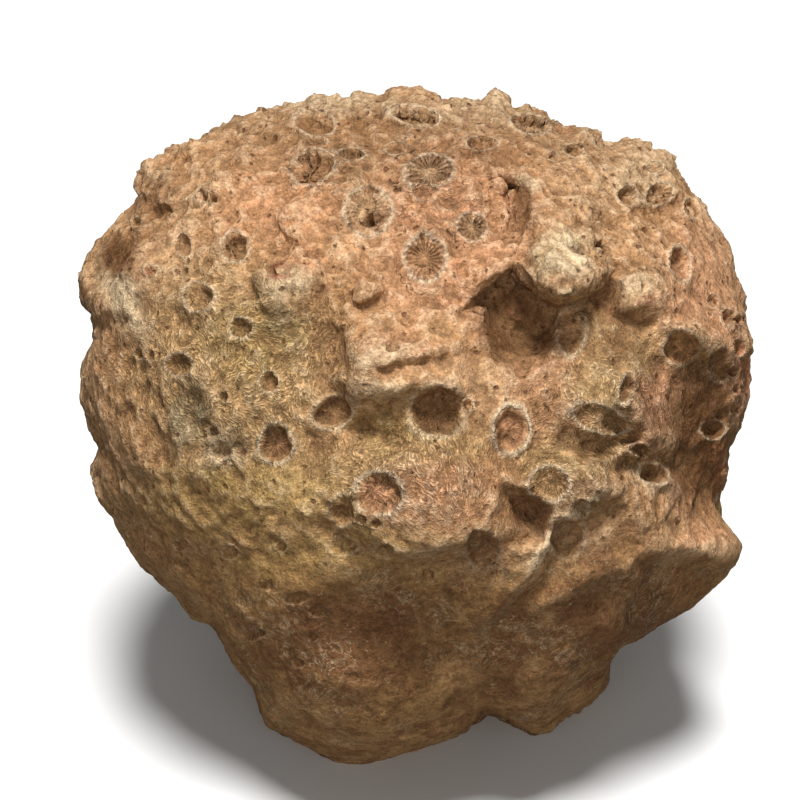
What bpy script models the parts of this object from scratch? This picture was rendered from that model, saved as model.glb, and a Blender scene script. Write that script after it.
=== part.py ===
"""A weathered head of coral limestone, about 180 mm across, broken off flat below.

Metres, +Z up. The stone stands on its flat break at z = 0, with the origin under the middle of its box.
It is shaped as one ball: first the outline and the big forms, then the broken faces with their lips and
crests, then the foot, the rough broken grain, the cups and ridges, and last the flat break.
"""

import itertools
import math
import random

import bmesh
import bpy
import numpy as np
from mathutils import Vector, noise
from mathutils.geometry import delaunay_2d_cdt
from mathutils.kdtree import KDTree

MM = 0.001

# The driving sizes.
ACROSS = 180 * MM
BREAK_DROP = 84 * MM
GRAIN_ALLOWANCE = 0.55 * MM
DEPTH_IN_FRONT = 88 * MM
DEPTH_BEHIND = 85 * MM
TRIANGLES = 9400
START_SPLITS = 6
SKIN_MESH = 1.5 * MM
FINEST = 4 * MM

# The front is drawn on a picture of 800 by 800 points, seen from 24 degrees above the level.
PICTURE_ACROSS = 684
PICTURE_MIDDLE = (415, 425)
POINT = ACROSS / PICTURE_ACROSS
SIGHT_RISE = math.radians(24)
SIGHT_DISTANCE = 620 * MM


class View:
    """A side that the stone is drawn from: what is right, up and toward the eye there."""

    def __init__(self, turn, rise):
        self.right = np.array((math.cos(turn), math.sin(turn), 0.0))
        self.toward = np.array(
            (math.sin(turn) * math.cos(rise), -math.cos(turn) * math.cos(rise), math.sin(rise))
        )
        self.up = np.cross(self.toward, self.right)

    def places(self, points):
        """The across and down place of each point in the picture."""
        shrink = SIGHT_DISTANCE / (SIGHT_DISTANCE - points @ self.toward) / POINT
        across = PICTURE_MIDDLE[0] + (points @ self.right) * shrink
        down = PICTURE_MIDDLE[1] - (points @ self.up) * shrink
        return np.stack((across, down), axis=1)

    def sight_lines(self, points):
        """The unit vector from each point to the eye."""
        lines = SIGHT_DISTANCE * self.toward - points
        return lines / np.linalg.norm(lines, axis=1, keepdims=True)


FRONT = View(0.0, SIGHT_RISE)
BACK = View(math.radians(172), math.radians(12))

# The outline in the picture, clockwise from the top.
OUTLINE = (
    (413, 86), (458, 99), (476, 107), (502, 103), (514, 114), (541, 116), (553, 131), (586, 133),
    (600, 148), (614, 150), (631, 142), (662, 162), (674, 178), (702, 205), (718, 225), (730, 250),
    (741, 291), (747, 326), (755, 345), (750, 368), (747, 405), (740, 427), (723, 455), (726, 475),
    (716, 500), (724, 522), (742, 549), (730, 577), (695, 605), (662, 625), (640, 636), (615, 643),
    (610, 660), (609, 684), (591, 705), (567, 717), (551, 734), (534, 737), (513, 723), (483, 709),
    (471, 729), (440, 743), (406, 752), (365, 763), (337, 762), (299, 743), (263, 726), (253, 691),
    (234, 666), (215, 630), (187, 624), (172, 601), (137, 565), (113, 519), (97, 501), (89, 467),
    (100, 450), (78, 399), (80, 373), (95, 340), (96, 318), (75, 301), (74, 271), (98, 244),
    (122, 219), (142, 204), (147, 164), (170, 156), (210, 132), (245, 121), (280, 109), (327, 100),
    (378, 94),
)

# Big forms. A bulge is (across, down, wide, tall, turn, push towards the eye in mm, push right, push up).
BULGES = {
    "saddle between ledge and plate": (326, 350, 50, 70, 0, -3.0, 0.0, 0.0),
    "left fullness": (170, 340, 300, 420, 0, 8.0, 0.0, 0.0),
    "left shoulder": (235, 170, 130, 80, -25, 3.0, 0.0, 0.0),
    "hollow high on the right": (663, 213, 50, 40, 20, -3.0, 0.0, 0.0),
    "high right mound": (600, 180, 80, 46, 15, 2.5, 0.0, 0.0),
    "right middle mound": (600, 390, 120, 90, 0, 4.0, 0.0, 0.0),
    "right bulge": (712, 482, 40, 44, 0, 1.0, 0.0, 0.0),
    "brow right of the saddle": (590, 480, 90, 60, -20, 4.0, 0.0, 0.0),
    "middle brow": (415, 490, 200, 120, 0, 5.0, 0.0, 0.0),
    "left brow": (290, 505, 160, 100, 0, 2.5, 0.0, 0.0),
    "dark underside": (420, 640, 300, 180, 0, -9.0, 0.0, 0.0),
    "lower left underside": (215, 590, 190, 130, -30, -2.0, 0.0, 0.0),
    "cleft between the feet": (486, 690, 50, 70, 12, -2.0, 0.0, 0.0),
    "left foot": (350, 700, 170, 110, 0, 3.0, 0.0, 0.0),
    "right foot": (548, 700, 90, 90, 0, 4.0, 0.0, 0.0),
    "lower left bulge": (188, 610, 46, 34, 0, 3.0, 0.0, 0.0),
    "left side bulge": (98, 484, 34, 56, 0, 3.0, 0.0, 0.0),
}

# Broken faces. Each line of (across, down, push towards the eye in mm) is an edge that flat faces meet in.
FACES = {
    "crest of the knob": (
        (563, 184, 2.5), (545, 205, 9.0), (548, 227, 14.0), (556, 252, 19.0), (564, 272, 20.0),
        (592, 270, 17.5),
    ),
    "lip of the knob": (
        (519, 250, 5.0), (517, 261, 8.0), (526, 272, 10.5), (540, 286, 13.5), (555, 300, 16.5),
        (568, 296, 17.5), (580, 289, 18.0), (597, 279, 15.0), (602, 264, 6.5), (600, 246, 1.5),
    ),
    "under the knob": (
        (511, 270, -5.0), (520, 281, -6.5), (537, 296, -6.5), (555, 308, -5.5), (570, 304, -4.0),
        (584, 299, -3.5), (601, 291, -3.5), (609, 272, -2.5), (606, 248, 0.0),
    ),
    "right of the crest": ((590, 200, 1.0), (585, 232, 6.0), (600, 246, 1.5)),
    "wall of the bowl": (
        (500, 174, 3.0), (518, 175, 5.0), (536, 180, 6.5), (538, 195, 8.0), (535, 208, 8.5),
        (534, 222, 8.5), (531, 238, 7.0), (519, 250, 5.0),
    ),
    "foot of the bowl's wall": (
        (497, 184, -3.0), (506, 188, -6.5), (513, 193, -8.0), (511, 206, -8.0), (510, 220, -7.5),
        (508, 234, -5.5), (505, 243, -1.5),
    ),
    "floor of the bowl": ((496, 202, -6.0), (496, 222, -5.0)),
    "left of the bowl": ((470, 182, 0.0), (476, 205, -1.5), (480, 228, -1.5), (490, 241, 0.0)),
    "pale plate": (
        (478, 262, 1.5), (488, 252, 3.0), (505, 251, 4.0), (513, 262, 6.5), (496, 275, 5.5),
        (478, 287, 3.5), (466, 298, 0.5),
    ),
    "shaded face, upper edge": ((511, 270, -5.0), (498, 283, -7.0), (483, 296, -6.5), (473, 307, -4.0)),
    "shaded face": (
        (490, 302, -8.0), (502, 318, -10.5), (518, 333, -12.0), (532, 346, -9.5), (546, 330, -9.5),
    ),
    "shaded face, lower edge": (
        (470, 322, 0.0), (478, 345, 0.0), (498, 369, 0.0), (522, 385, 0.5), (546, 364, 0.0),
        (558, 342, -0.5), (558, 320, -3.0),
    ),
    "cup wall right of the shaded face": ((585, 312, 0.5), (586, 340, 0.5), (572, 358, 0.5)),
    "crest of the plateau": (
        (350, 347, 4.5), (360, 358, 8.5), (370, 368, 10.0), (384, 363, 9.5), (400, 358, 8.5),
        (420, 355, 7.5), (440, 351, 6.0), (454, 352, 3.0),
    ),
    "below the crest": ((383, 370, 6.0), (400, 365, 4.5), (420, 362, 4.0), (441, 358, 2.5)),
    "lip of the ledge": (
        (339, 360, 2.5), (347, 374, 6.0), (362, 386, 8.0), (385, 389, 8.5), (405, 384, 8.0),
        (425, 381, 7.0), (443, 386, 5.0), (459, 392, 2.0),
    ),
    "under the ledge": (
        (321, 372, -0.6), (334, 393, -0.5), (356, 407, 0.5), (386, 410, 1.0), (405, 403, 0.5),
        (424, 397, 0.0), (444, 399, -0.5), (459, 403, 0.0),
    ),
    "hollow under the ledge": ((338, 416, -1.5), (364, 428, -2.5), (392, 436, -2.5), (404, 452, -0.5)),
    "left edge of the plateau": (
        (371, 309, 2.0), (357, 313, 3.0), (353, 328, 3.8), (350, 347, 4.5), (339, 360, 2.5),
    ),
    "left of the plateau": (
        (338, 313, -0.3), (335, 328, -0.8), (331, 344, -1.0), (324, 358, -0.6), (321, 372, -0.6),
    ),
    "top of the plateau": ((371, 309, 2.0), (400, 310, 2.5), (425, 314, 1.0), (450, 320, 0.5)),
    "middle of the plateau": (
        (373, 326, 4.5), (395, 336, 3.5), (420, 336, 3.5), (445, 333, 1.5), (468, 330, 0.5),
    ),
    "right of the ledge": ((465, 355, 0.5), (475, 375, 0.0), (478, 395, 0.0)),
    "chip": (
        (346, 289, 2.5), (362, 282, 3.0), (379, 284, 2.5), (372, 298, 4.0), (358, 299, 3.5),
        (346, 289, 2.5),
    ),
    "round the chip": (
        (339, 290, 0.0), (347, 298, -0.5), (358, 305, -0.8), (373, 303, 0.0), (385, 292, 0.0),
        (382, 277, 0.0), (361, 275, 0.0), (344, 281, 0.0), (339, 290, 0.0),
    ),
    "top edge of the left plate": ((264, 278, 4.5), (280, 273, 5.5), (298, 271, 4.0), (318, 279, 1.5)),
    "above the left plate": ((256, 271, 0.0), (280, 266, 0.0), (300, 264, 0.3), (325, 271, 0.0)),
    "left edge of the left plate": ((264, 278, 4.5), (265, 292, 5.0), (268, 306, 3.5)),
    "left of the left plate": ((256, 282, -0.5), (257, 295, -1.0), (257, 311, -0.5)),
    "face of the left plate": ((268, 306, 3.5), (284, 308, 3.0), (300, 302, 2.0), (318, 292, 0.5)),
    "hollow under the left plate": ((266, 328, -1.0), (283, 332, -1.8), (299, 327, -0.5)),
    "below the left plate": ((260, 347, 0.0), (284, 350, 0.0), (308, 338, 0.0)),
    "small lump": (
        (290, 222, 2.0), (300, 210, 2.5), (313, 218, 2.5), (312, 232, 2.0), (297, 233, 2.0),
        (290, 222, 2.0),
    ),
    "round the small lump": (
        (283, 229, -1.0), (291, 241, -1.2), (303, 246, -0.5), (323, 236, 0.0), (323, 212, 0.0),
        (300, 199, 0.0), (283, 214, 0.0), (283, 229, -1.0),
    ),
    "top of the right lump": ((625, 285, 3.5), (639, 273, 5.5), (655, 272, 5.0), (669, 283, 3.5)),
    "front of the right lump": ((627, 296, 4.5), (640, 301, 5.5), (655, 304, 5.5), (669, 298, 3.5)),
    "under the right lump": (
        (606, 318, -3.5), (628, 324, -4.0), (648, 325, -3.0), (662, 322, 1.0), (682, 309, 0.5),
    ),
    "hollow left of the right lump": ((601, 302, -4.5), (612, 292, -5.0)),
    "behind the right lump": ((614, 280, -1.0), (628, 270, 0.5), (655, 262, 0.5), (681, 276, 0.0)),
    "small rise": ((619, 248, 1.5), (633, 243, 2.5), (641, 254, 2.5), (628, 263, 2.0)),
    "round the small rise": ((613, 240, 0.0), (635, 235, 0.0), (649, 252, 0.0)),
    "valley": (
        (640, 338, -4.0), (655, 365, -4.5), (668, 395, -6.0), (677, 425, -7.0), (681, 447, -8.0),
        (684, 475, -12.0), (688, 505, -10.0), (692, 528, -2.0),
    ),
    "crest of the block": (
        (606, 374, 1.5), (627, 384, 5.0), (634, 404, 8.0), (642, 425, 8.5), (652, 441, 8.0),
    ),
    "left of the block": ((585, 398, 0.5), (612, 404, 4.0), (634, 404, 8.0)),
    "lip of the scoop": ((573, 424, 1.0), (590, 433, 2.5), (608, 430, 3.5), (624, 423, 5.0)),
    "hollow under the scoop": ((578, 446, -0.5), (598, 449, -1.5), (615, 443, -1.0), (634, 440, 1.0)),
    "lower lip of the block": (
        (602, 460, 2.0), (620, 453, 4.5), (637, 448, 7.0), (652, 441, 8.0), (667, 447, 1.0),
    ),
    "under the block": ((608, 470, -1.5), (634, 463, -2.0), (652, 459, -3.5), (669, 462, -7.0)),
    "below the slit": ((626, 492, 0.5), (645, 488, 1.5), (668, 482, 0.0), (676, 492, -5.0)),
    "diagonal ridge": (
        (604, 489, 4.5), (585, 502, 5.0), (571, 514, 5.0), (555, 529, 5.0), (545, 547, 5.0),
        (537, 566, 5.0), (525, 583, 4.5), (501, 604, 4.0), (482, 626, 3.0), (468, 650, 1.5),
    ),
    "below the diagonal ridge": (
        (614, 499, -1.0), (594, 515, -1.5), (577, 530, -2.5), (562, 545, -2.5), (553, 562, -2.5),
        (547, 580, -2.0), (521, 602, -1.5), (498, 622, -1.5), (484, 645, -0.5),
    ),
    "over the saddle": ((508, 484, 3.0), (530, 490, 4.5), (552, 500, 5.0)),
    "saddle": ((512, 499, -4.5), (528, 512, -9.0), (538, 530, -5.5)),
    "second diagonal ridge": (
        (640, 560, 2.5), (610, 572, 3.5), (582, 585, 4.0), (555, 600, 3.5), (533, 614, 1.5),
    ),
    "below the second ridge": (
        (642, 574, -1.5), (614, 588, -2.0), (588, 602, -2.0), (560, 617, -1.5), (540, 632, -0.5),
    ),
    "lip of the brow": (
        (336, 505, 1.0), (346, 516, 3.5), (362, 528, 5.0), (380, 541, 6.5), (400, 555, 9.0),
        (420, 556, 9.0), (440, 548, 8.5), (461, 541, 7.5), (474, 530, 6.5), (490, 521, 6.0),
        (503, 528, 5.0),
    ),
    "under the brow": (
        (330, 520, -1.5), (342, 531, -1.5), (358, 544, -1.5), (377, 556, -1.5), (398, 569, -1.5),
        (421, 569, -1.5), (444, 562, -1.5), (466, 560, -2.0), (486, 566, -2.0), (505, 548, 1.0),
    ),
    "face of the brow": (
        (345, 485, 0.5), (380, 470, 2.0), (420, 470, 3.0), (460, 475, 3.0), (495, 480, 2.0),
    ),
    "crest of the spur": (
        (636, 552, 2.5), (660, 547, 5.0), (683, 544, 7.5), (700, 553, 10.0), (716, 561, 12.0),
        (737, 553, 12.0),
    ),
    "top of the spur": ((700, 528, 0.0), (716, 524, 3.0), (728, 530, 7.0), (770, 545, 10.0)),
    "under the spur": (
        (642, 566, -1.0), (665, 563, -2.0), (688, 562, -2.0), (704, 572, -1.0), (722, 577, 0.0),
        (770, 575, 2.0),
    ),
    "edge of the faces": (
        (205, 150, 0.0), (262, 185, 0.0), (330, 190, 0.0), (400, 200, 0.0), (470, 165, 0.0),
        (520, 160, 0.0), (575, 165, 0.0), (620, 200, 0.0), (665, 230, 0.0), (700, 262, 0.0),
        (735, 285, 0.0), (780, 300, 0.0),
    ),
    "lower edge of the faces": (
        (40, 480, 0.0), (90, 500, 0.0), (150, 520, 0.0), (220, 500, 0.0), (270, 470, 0.0),
        (318, 490, 0.0), (310, 540, 0.0), (360, 590, 0.0), (430, 600, 0.0), (455, 660, 0.0),
        (490, 665, 0.0), (560, 640, 0.0), (640, 620, 0.0), (700, 620, 0.0), (770, 610, 0.0),
    ),
    "plain left of the left plate": ((240, 230, 0.0), (235, 300, 0.0), (245, 360, 0.0), (310, 420, 0.0)),
    "shelf on the right": (
        (662, 322, 1.0), (688, 330, 5.0), (712, 339, 9.0), (733, 346, 11.0), (775, 350, 11.0),
    ),
    "right side of the valley": (
        (668, 362, -5.0), (698, 368, -5.0), (714, 392, -6.0), (716, 420, -8.0), (708, 448, -10.0),
    ),
    "rib at the right edge": (
        (733, 346, 11.0), (738, 375, 6.0), (739, 402, 4.0), (733, 430, 2.0), (722, 455, -2.0),
    ),
    "outside the right edge": (
        (775, 350, 11.0), (775, 400, 9.0), (770, 440, 6.0), (765, 480, 0.0), (765, 510, 0.0),
        (770, 545, 10.0),
    ),
    "below the right rib": ((706, 470, -12.0), (704, 495, -11.0), (700, 515, -6.0)),
    "crest of the strap": (
        (208, 212, 1.5), (178, 232, 4.0), (154, 252, 6.0), (134, 270, 8.0), (119, 286, 9.0),
        (104, 308, 9.0),
    ),
    "left cavity": (
        (176, 221, -1.0), (150, 238, -4.0), (132, 250, -7.0), (113, 266, -7.0), (102, 280, -5.0),
    ),
    "far rim of the cavity": (
        (146, 212, 0.0), (120, 230, 2.0), (99, 246, 3.0), (84, 264, 4.0), (40, 270, 4.0),
    ),
    "left lobe": ((80, 284, 6.0), (92, 298, 8.0), (99, 312, 7.0)),
    "right of the strap": (
        (205, 240, 0.0), (180, 264, 1.0), (158, 292, 2.0), (140, 318, 3.5), (120, 338, 4.0),
    ),
    "left groove": (
        (109, 322, 2.5), (127, 352, -0.5), (141, 385, -1.5), (158, 430, -1.5), (172, 475, -0.5),
    ),
    "left lit ridge": ((86, 345, 4.5), (104, 388, 4.5), (122, 425, 4.0), (142, 459, 3.0), (152, 490, 1.0)),
    "left edge": ((40, 330, 6.0), (40, 420, 4.0), (40, 480, 0.0)),
    "dark left flank": ((86, 400, 0.5), (100, 435, 0.0), (118, 470, -0.5)),
    "right of the groove": ((158, 345, 2.0), (166, 385, 2.2), (174, 425, 1.8), (186, 465, 0.5)),
    "rim of the facet": (
        (172, 384, 2.0), (190, 378, 2.0), (206, 386, 2.0), (214, 402, 1.5), (218, 432, 1.0),
    ),
    "scooped facet": ((184, 400, -0.8), (194, 420, -1.2), (200, 445, -0.5)),
    "plain on the left": ((200, 290, 0.0), (200, 340, 0.0), (240, 400, 0.0), (245, 440, 0.0)),
    "corner block": ((148, 163, 3.0), (170, 159, 3.0), (198, 166, 1.5)),
    "lip of the recess": ((150, 197, 2.5), (166, 201, 3.0), (186, 194, 2.0)),
    "recess": ((154, 209, -2.0), (168, 211, -3.5), (183, 205, -2.0)),
    "left upper edge": ((120, 130, 0.0), (60, 220, 0.0), (40, 270, 4.0), (40, 330, 6.0)),
    "plain over the plateau": ((400, 225, 0.0), (440, 250, 0.0), (455, 280, 0.0), (400, 285, 0.0)),
    "plain left of the plateau": ((332, 262, 0.0), (325, 320, -1.0), (310, 360, 0.0), (310, 390, 0.0)),
    "plain below the plateau": (
        (420, 450, 0.0), (470, 430, 0.0), (500, 400, 0.0), (545, 400, 0.0), (585, 370, 0.0),
        (600, 330, 0.0),
    ),
    "plain over the brow": ((570, 445, 0.0), (520, 470, 0.0)),
}

# The parts of the picture with crisp edges, as ovals, and how many points wide the wear is there and
# elsewhere.
CRISP_PARTS = ((470, 285, 350, 330, 0), (120, 240, 170, 230, 0))
CRISP_WEAR = 1.2
SOFT_WEAR = 3.5

# A ledge is the line of its lip, left to right with the raised side above, then mm: rise, reach up,
# cut below, reach down, and how far the lip hangs over.
LEDGES = {
    "top step": (((345, 106), (380, 112), (410, 124), (434, 132)), 1.6, 6.0, 1.2, 5.0, 0.5),
    "underside break": (((440, 716), (455, 700), (482, 690), (500, 672)), 2.0, 10.0, 2.0, 9.0, 0.0),
    "double cup lip": (((592, 236), (604, 262), (600, 280)), 2.0, 6.0, 2.0, 6.0, 0.0),
}

# A ridge is a line, its half width in mm and its rise in mm. A negative rise is a groove or a crack.
RIDGES = {
    "red crack": (((264, 271), (276, 269), (290, 271), (300, 268)), 0.9, -1.8),
    "plateau slit": (((386, 347), (400, 346)), 0.9, -2.2),
    "cleft by the double cup": (((599, 238), (602, 248), (608, 256)), 1.0, -3.0),
    "pit comb": (((458, 152), (470, 156), (488, 153)), 1.2, -1.4),
    "first foot crack": (((206, 578), (214, 590), (223, 597)), 1.0, -1.2),
    "second foot crack": (((278, 668), (284, 680), (290, 694)), 1.0, -1.4),
    "foot streak": (((299, 710), (305, 718), (312, 728)), 1.0, -1.0),
    "rib under the brow": (((470, 575), (462, 610), (440, 650)), 4.0, 1.5),
    "right underside rib": (((640, 560), (620, 600), (600, 640)), 4.0, 2.0),
    "right underside groove": (((665, 560), (650, 590), (625, 625)), 3.5, -2.0),
}

# A cup is (across, down, wide, tall, turn, depth in mm, rim in mm). A turn leans its top to the right.
CUPS = {
    "star cup, top": (429, 171, 46, 30, 8, 1.8, 1.0),
    "star cup, middle": (425, 258, 38, 44, 0, 1.9, 1.0),
    "star cup, right": (472, 227, 28, 27, 0, 1.6, 0.8),
    "patch under the top star": (425, 193, 24, 14, 0, 1.0, 0.3),
    "deep hole": (375, 217, 23, 21, 0, 5.0, 0.8),
    "cup round the deep hole": (368, 211, 44, 46, -10, 2.5, 0.9),
    "slanted hollow": (313, 167, 44, 32, 28, 3.2, 0.8),
    "top slot": (351, 154, 27, 11, 0, 2.5, 0.4),
    "top triangle": (396, 148, 21, 12, 10, 2.0, 0.4),
    "long top hollow": (414, 115, 48, 18, -8, 2.6, 0.5),
    "dark end of the top hollow": (431, 120, 16, 11, 0, 1.8, 0.3),
    "top blotch": (315, 123, 40, 24, -10, 2.2, 0.4),
    "cap pit": (530, 124, 40, 18, -10, 3.2, 0.8),
    "comb pit": (482, 143, 32, 13, 0, 2.0, 0.5),
    "high dot": (554, 156, 11, 9, 0, 1.4, 0.3),
    "high recess": (574, 150, 18, 12, 0, 2.0, 0.3),
    "high recess, right": (597, 160, 14, 9, 0, 1.4, 0.3),
    "twin hole, left": (202, 196, 11, 14, 0, 3.4, 0.5),
    "twin hole, right": (213, 198, 10, 12, 0, 3.4, 0.5),
    "far left dot": (136, 222, 10, 9, 0, 1.4, 0.3),
    "left cup": (235, 247, 26, 29, 0, 3.0, 1.0),
    "crescent": (184, 245, 14, 24, 10, 2.0, 0.5),
    "small slit": (185, 271, 7, 10, 0, 1.4, 0.3),
    "left orange pit": (151, 270, 14, 12, 0, 1.8, 0.3),
    "upper right oval": (655, 167, 17, 11, 10, 1.6, 0.4),
    "upper right star cup": (659, 194, 29, 20, 30, 2.5, 0.7),
    "round right cup": (627, 196, 20, 19, 0, 2.5, 0.8),
    "far right cup": (692, 208, 15, 20, 20, 2.2, 0.5),
    "narrow right cup": (680, 264, 20, 35, 12, 3.1, 0.8),
    "cup F": (198, 297, 29, 28, 0, 2.2, 0.8),
    "cup G": (241, 328, 22, 20, 0, 2.0, 0.7),
    "cup H": (179, 365, 26, 22, 0, 2.0, 0.7),
    "cup I": (224, 397, 9, 11, 0, 2.1, 0.4),
    "pair, left": (139, 354, 9, 11, 0, 1.6, 0.4),
    "pair, right": (150, 355, 9, 11, 0, 1.6, 0.4),
    "cup K": (214, 432, 10, 10, 0, 1.2, 0.3),
    "hollow below K": (221, 451, 22, 20, 0, 2.0, 0.4),
    "cup L": (269, 382, 18, 21, 0, 2.6, 0.8),
    "cup M": (276, 444, 33, 37, 0, 2.2, 1.1),
    "cup N": (333, 412, 42, 30, 22, 2.5, 0.8),
    "big olive cup": (437, 412, 54, 50, 12, 2.8, 0.9),
    "cup under the knob": (571, 331, 28, 46, 0, 1.0, 0.3),
    "white ringed oval": (511, 430, 34, 48, -4, 2.5, 1.3),
    "scoop": (600, 419, 56, 26, -18, 1.4, 0.9),
    "small right cup": (713, 301, 11, 14, 0, 1.6, 0.4),
    "tilted right cup": (681, 347, 36, 34, 30, 1.7, 0.8),
    "grey right cup": (720, 364, 24, 34, 0, 1.3, 0.5),
    "white ringed slot": (627, 389, 14, 32, -16, 2.5, 1.0),
    "lower right cup": (713, 430, 24, 18, 0, 2.6, 0.7),
    "pink floored cup": (379, 494, 46, 42, 0, 2.8, 1.2),
    "cup beside it": (343, 511, 24, 32, 0, 2.5, 0.6),
    "small cup below": (362, 519, 12, 10, 0, 1.6, 0.4),
    "small cup below, right": (376, 524, 12, 9, 0, 1.6, 0.4),
    "tiny dot": (353, 499, 7, 6, 0, 1.2, 0.2),
    "brow cup": (385, 551, 18, 15, 0, 2.0, 0.4),
    "underside hole": (428, 576, 13, 15, 0, 2.8, 0.4),
    "leaf shaped hollow": (482, 549, 34, 38, 20, 2.5, 0.8),
    "saddle cup": (549, 484, 38, 35, 0, 2.5, 1.0),
    "small saddle cup": (582, 508, 16, 18, 0, 2.2, 0.5),
    "small saddle dot": (594, 505, 9, 10, 0, 1.6, 0.4),
    "shallow brow hollow": (566, 537, 36, 40, 0, 2.2, 0.5),
    "brow dot": (568, 568, 9, 9, 0, 1.2, 0.3),
    "triangular slit": (654, 474, 30, 20, -18, 3.8, 0.6),
    "slit above it": (640, 450, 24, 12, -10, 2.2, 0.6),
    "spur dot": (680, 524, 9, 9, 0, 1.2, 0.2),
    "notch by the olive cup": (468, 405, 10, 12, 0, 1.8, 0.3),
    "right edge hole 1": (739, 320, 11, 10, 0, 2.2, 0.5),
    "right edge hole 2": (728, 317, 14, 15, 0, 3.0, 0.5),
    "right edge hole 3": (739, 348, 13, 17, 0, 2.8, 0.5),
    "right edge hole 4": (733, 372, 10, 11, 0, 2.2, 0.5),
    "right edge hole 5": (738, 389, 11, 10, 0, 2.4, 0.5),
    "right edge hole 6": (735, 410, 10, 11, 0, 2.2, 0.5),
    "faint 1": (181, 545, 14, 12, 0, 0.9, 0.3),
    "faint 2": (230, 552, 16, 14, 0, 0.9, 0.3),
    "faint 3": (342, 546, 30, 18, 0, 1.2, 0.4),
    "faint 4": (281, 547, 12, 10, 0, 1.0, 0.3),
    "faint 5": (267, 586, 14, 10, 0, 0.9, 0.2),
    "faint 6": (297, 598, 25, 12, 10, 1.1, 0.3),
    "faint 7": (318, 611, 20, 12, 0, 1.0, 0.3),
    "faint 8": (254, 635, 25, 11, 15, 0.9, 0.3),
    "faint 9": (313, 637, 11, 9, 0, 0.8, 0.2),
    "faint 10": (299, 663, 12, 10, 0, 0.9, 0.2),
    "faint 11": (353, 677, 12, 10, 0, 0.9, 0.2),
}

# The back, drawn on a like picture from behind. It is made up, after the forms of the front.
BACK_BULGES = {
    "broken shoulder": (300, 225, 220, 120, 20, 6.0, 0.0, 0.0),
    "scar": (440, 365, 210, 120, -25, -10.0, 0.0, 0.0),
    "standing rib": (540, 260, 90, 190, 15, 8.0, 0.0, 0.0),
    "lower belly": (360, 520, 230, 130, 0, 8.0, 0.0, 0.0),
    "left dent": (190, 400, 120, 170, 10, -9.0, 0.0, 0.0),
    "right dent": (640, 450, 110, 160, -15, -9.0, 0.0, 0.0),
    "upper dent": (430, 150, 130, 80, 0, -5.0, 0.0, 0.0),
    "right shoulder": (640, 270, 120, 90, 0, 6.0, 0.0, 0.0),
    "tail ridge": (490, 565, 70, 160, 25, 6.0, 0.0, 0.0),
    "left foot dent": (270, 640, 100, 110, -10, -8.0, 0.0, 0.0),
    "right foot dent": (570, 640, 100, 100, 0, -7.0, 0.0, 0.0),
    "left knob": (245, 335, 76, 64, 0, 4.5, 0.0, 0.0),
    "scar lump": (395, 300, 64, 46, 10, 5.0, 0.0, 0.0),
    "low hollow": (420, 445, 90, 60, 0, -5.0, 0.0, 0.0),
}
BACK_LEDGES = {
    "shoulder lip": (((185, 250), (235, 284), (300, 300), (352, 286), (405, 250)), 3.5, 15.0, 4.0, 12.0, 1.0),
    "scar lip": (((395, 330), (440, 318), (480, 330), (520, 318), (560, 335)), 3.0, 10.0, 4.0, 12.0, 0.8),
    "belly lip": (((235, 560), (290, 588), (345, 580), (400, 598), (450, 585), (510, 550)),
                  4.0, 14.0, 4.0, 12.0, 1.0),
    "high step": (((320, 128), (380, 150), (450, 140), (520, 160), (570, 150)), 2.0, 8.0, 2.0, 7.0, 1.0),
    "right lip": (((585, 335), (625, 356), (660, 350), (700, 330)), 2.5, 11.0, 3.5, 10.0, 0.8),
    "knob lip": (((212, 350), (240, 368), (272, 362), (286, 340)), 2.0, 8.0, 2.5, 8.0, 0.6),
}
BACK_RIDGES = {
    "long ridge": (((250, 420), (300, 460), (330, 510), (345, 560)), 3.0, 2.2),
    "crooked groove": (((560, 400), (540, 450), (560, 500), (550, 560)), 2.4, -2.4),
    "scar crack": (((340, 380), (380, 392), (430, 386), (470, 400)), 1.2, -1.8),
    "rib crest": (((520, 180), (536, 230), (548, 290), (540, 330)), 2.4, 1.8),
    "low ridge": (((400, 640), (440, 600), (470, 560)), 3.0, 2.0),
}

# How much the sides that neither picture shows well swell, and over what width.
SIDE_SWELLS = ((48 * MM, 6.0 * MM), (24 * MM, 2.5 * MM))

# The foot seen from above, as (x, y) from under the ball's middle in mm: two lobes with a notch in front.
FOOT_PLAN = (
    (-45, 6), (-44, -6), (-41, -13), (-31, -22), (-21, -31), (-13, -32), (-2, -26), (7, -21), (14, -14),
    (20, -7), (26, -13), (32, -19), (37, -17), (42, -8), (49, -2), (54, 10), (54, 24), (46, 38),
    (28, 47), (5, 51), (-18, 47), (-36, 36), (-45, 21),
)
FOOT_MIDDLE = (4, 10)
FOOT_REACHES_DOWN = 92 * MM
FOOT_WOBBLE = 20 * MM
FOOT_FLARES_BEHIND = 32 * MM

# Cups on the sides that the front doesn't show.
SCATTERED_CUPS = 120
SCATTER_SEED = 11
SCATTER_GAP = 13 * MM
CUP_HALF_WIDTHS = (2.6 * MM, 6.0 * MM)

# The grain: how wide its swells and its sharp crests are, and how high.
SWELLS = ((26 * MM, 1.2 * MM), (11 * MM, 0.8 * MM), (5 * MM, 0.5 * MM), (2.4 * MM, 0.3 * MM))
CRESTS = ((17 * MM, 0.35 * MM), (7 * MM, 0.3 * MM))
SCALLOPS = ((11 * MM, 0.6 * MM), (5 * MM, 0.35 * MM))
CHIPS = ((16 * MM, 0.9 * MM, 0.8), (6.5 * MM, 0.6 * MM, 0.35), (3.2 * MM, 0.42 * MM, 0.2))


# The heights over the ball's middle between which the broken crown begins, and how much rougher it is.
CROWN_HEIGHTS = (48 * MM, 66 * MM)
CROWN_ROUGHER = 1.4


def ease(low, high, x):
    """0 below low, 1 above high, and a smooth rise between them."""
    t = np.clip((x - low) / (high - low), 0.0, 1.0)
    return t * t * (3.0 - 2.0 * t)


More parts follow.
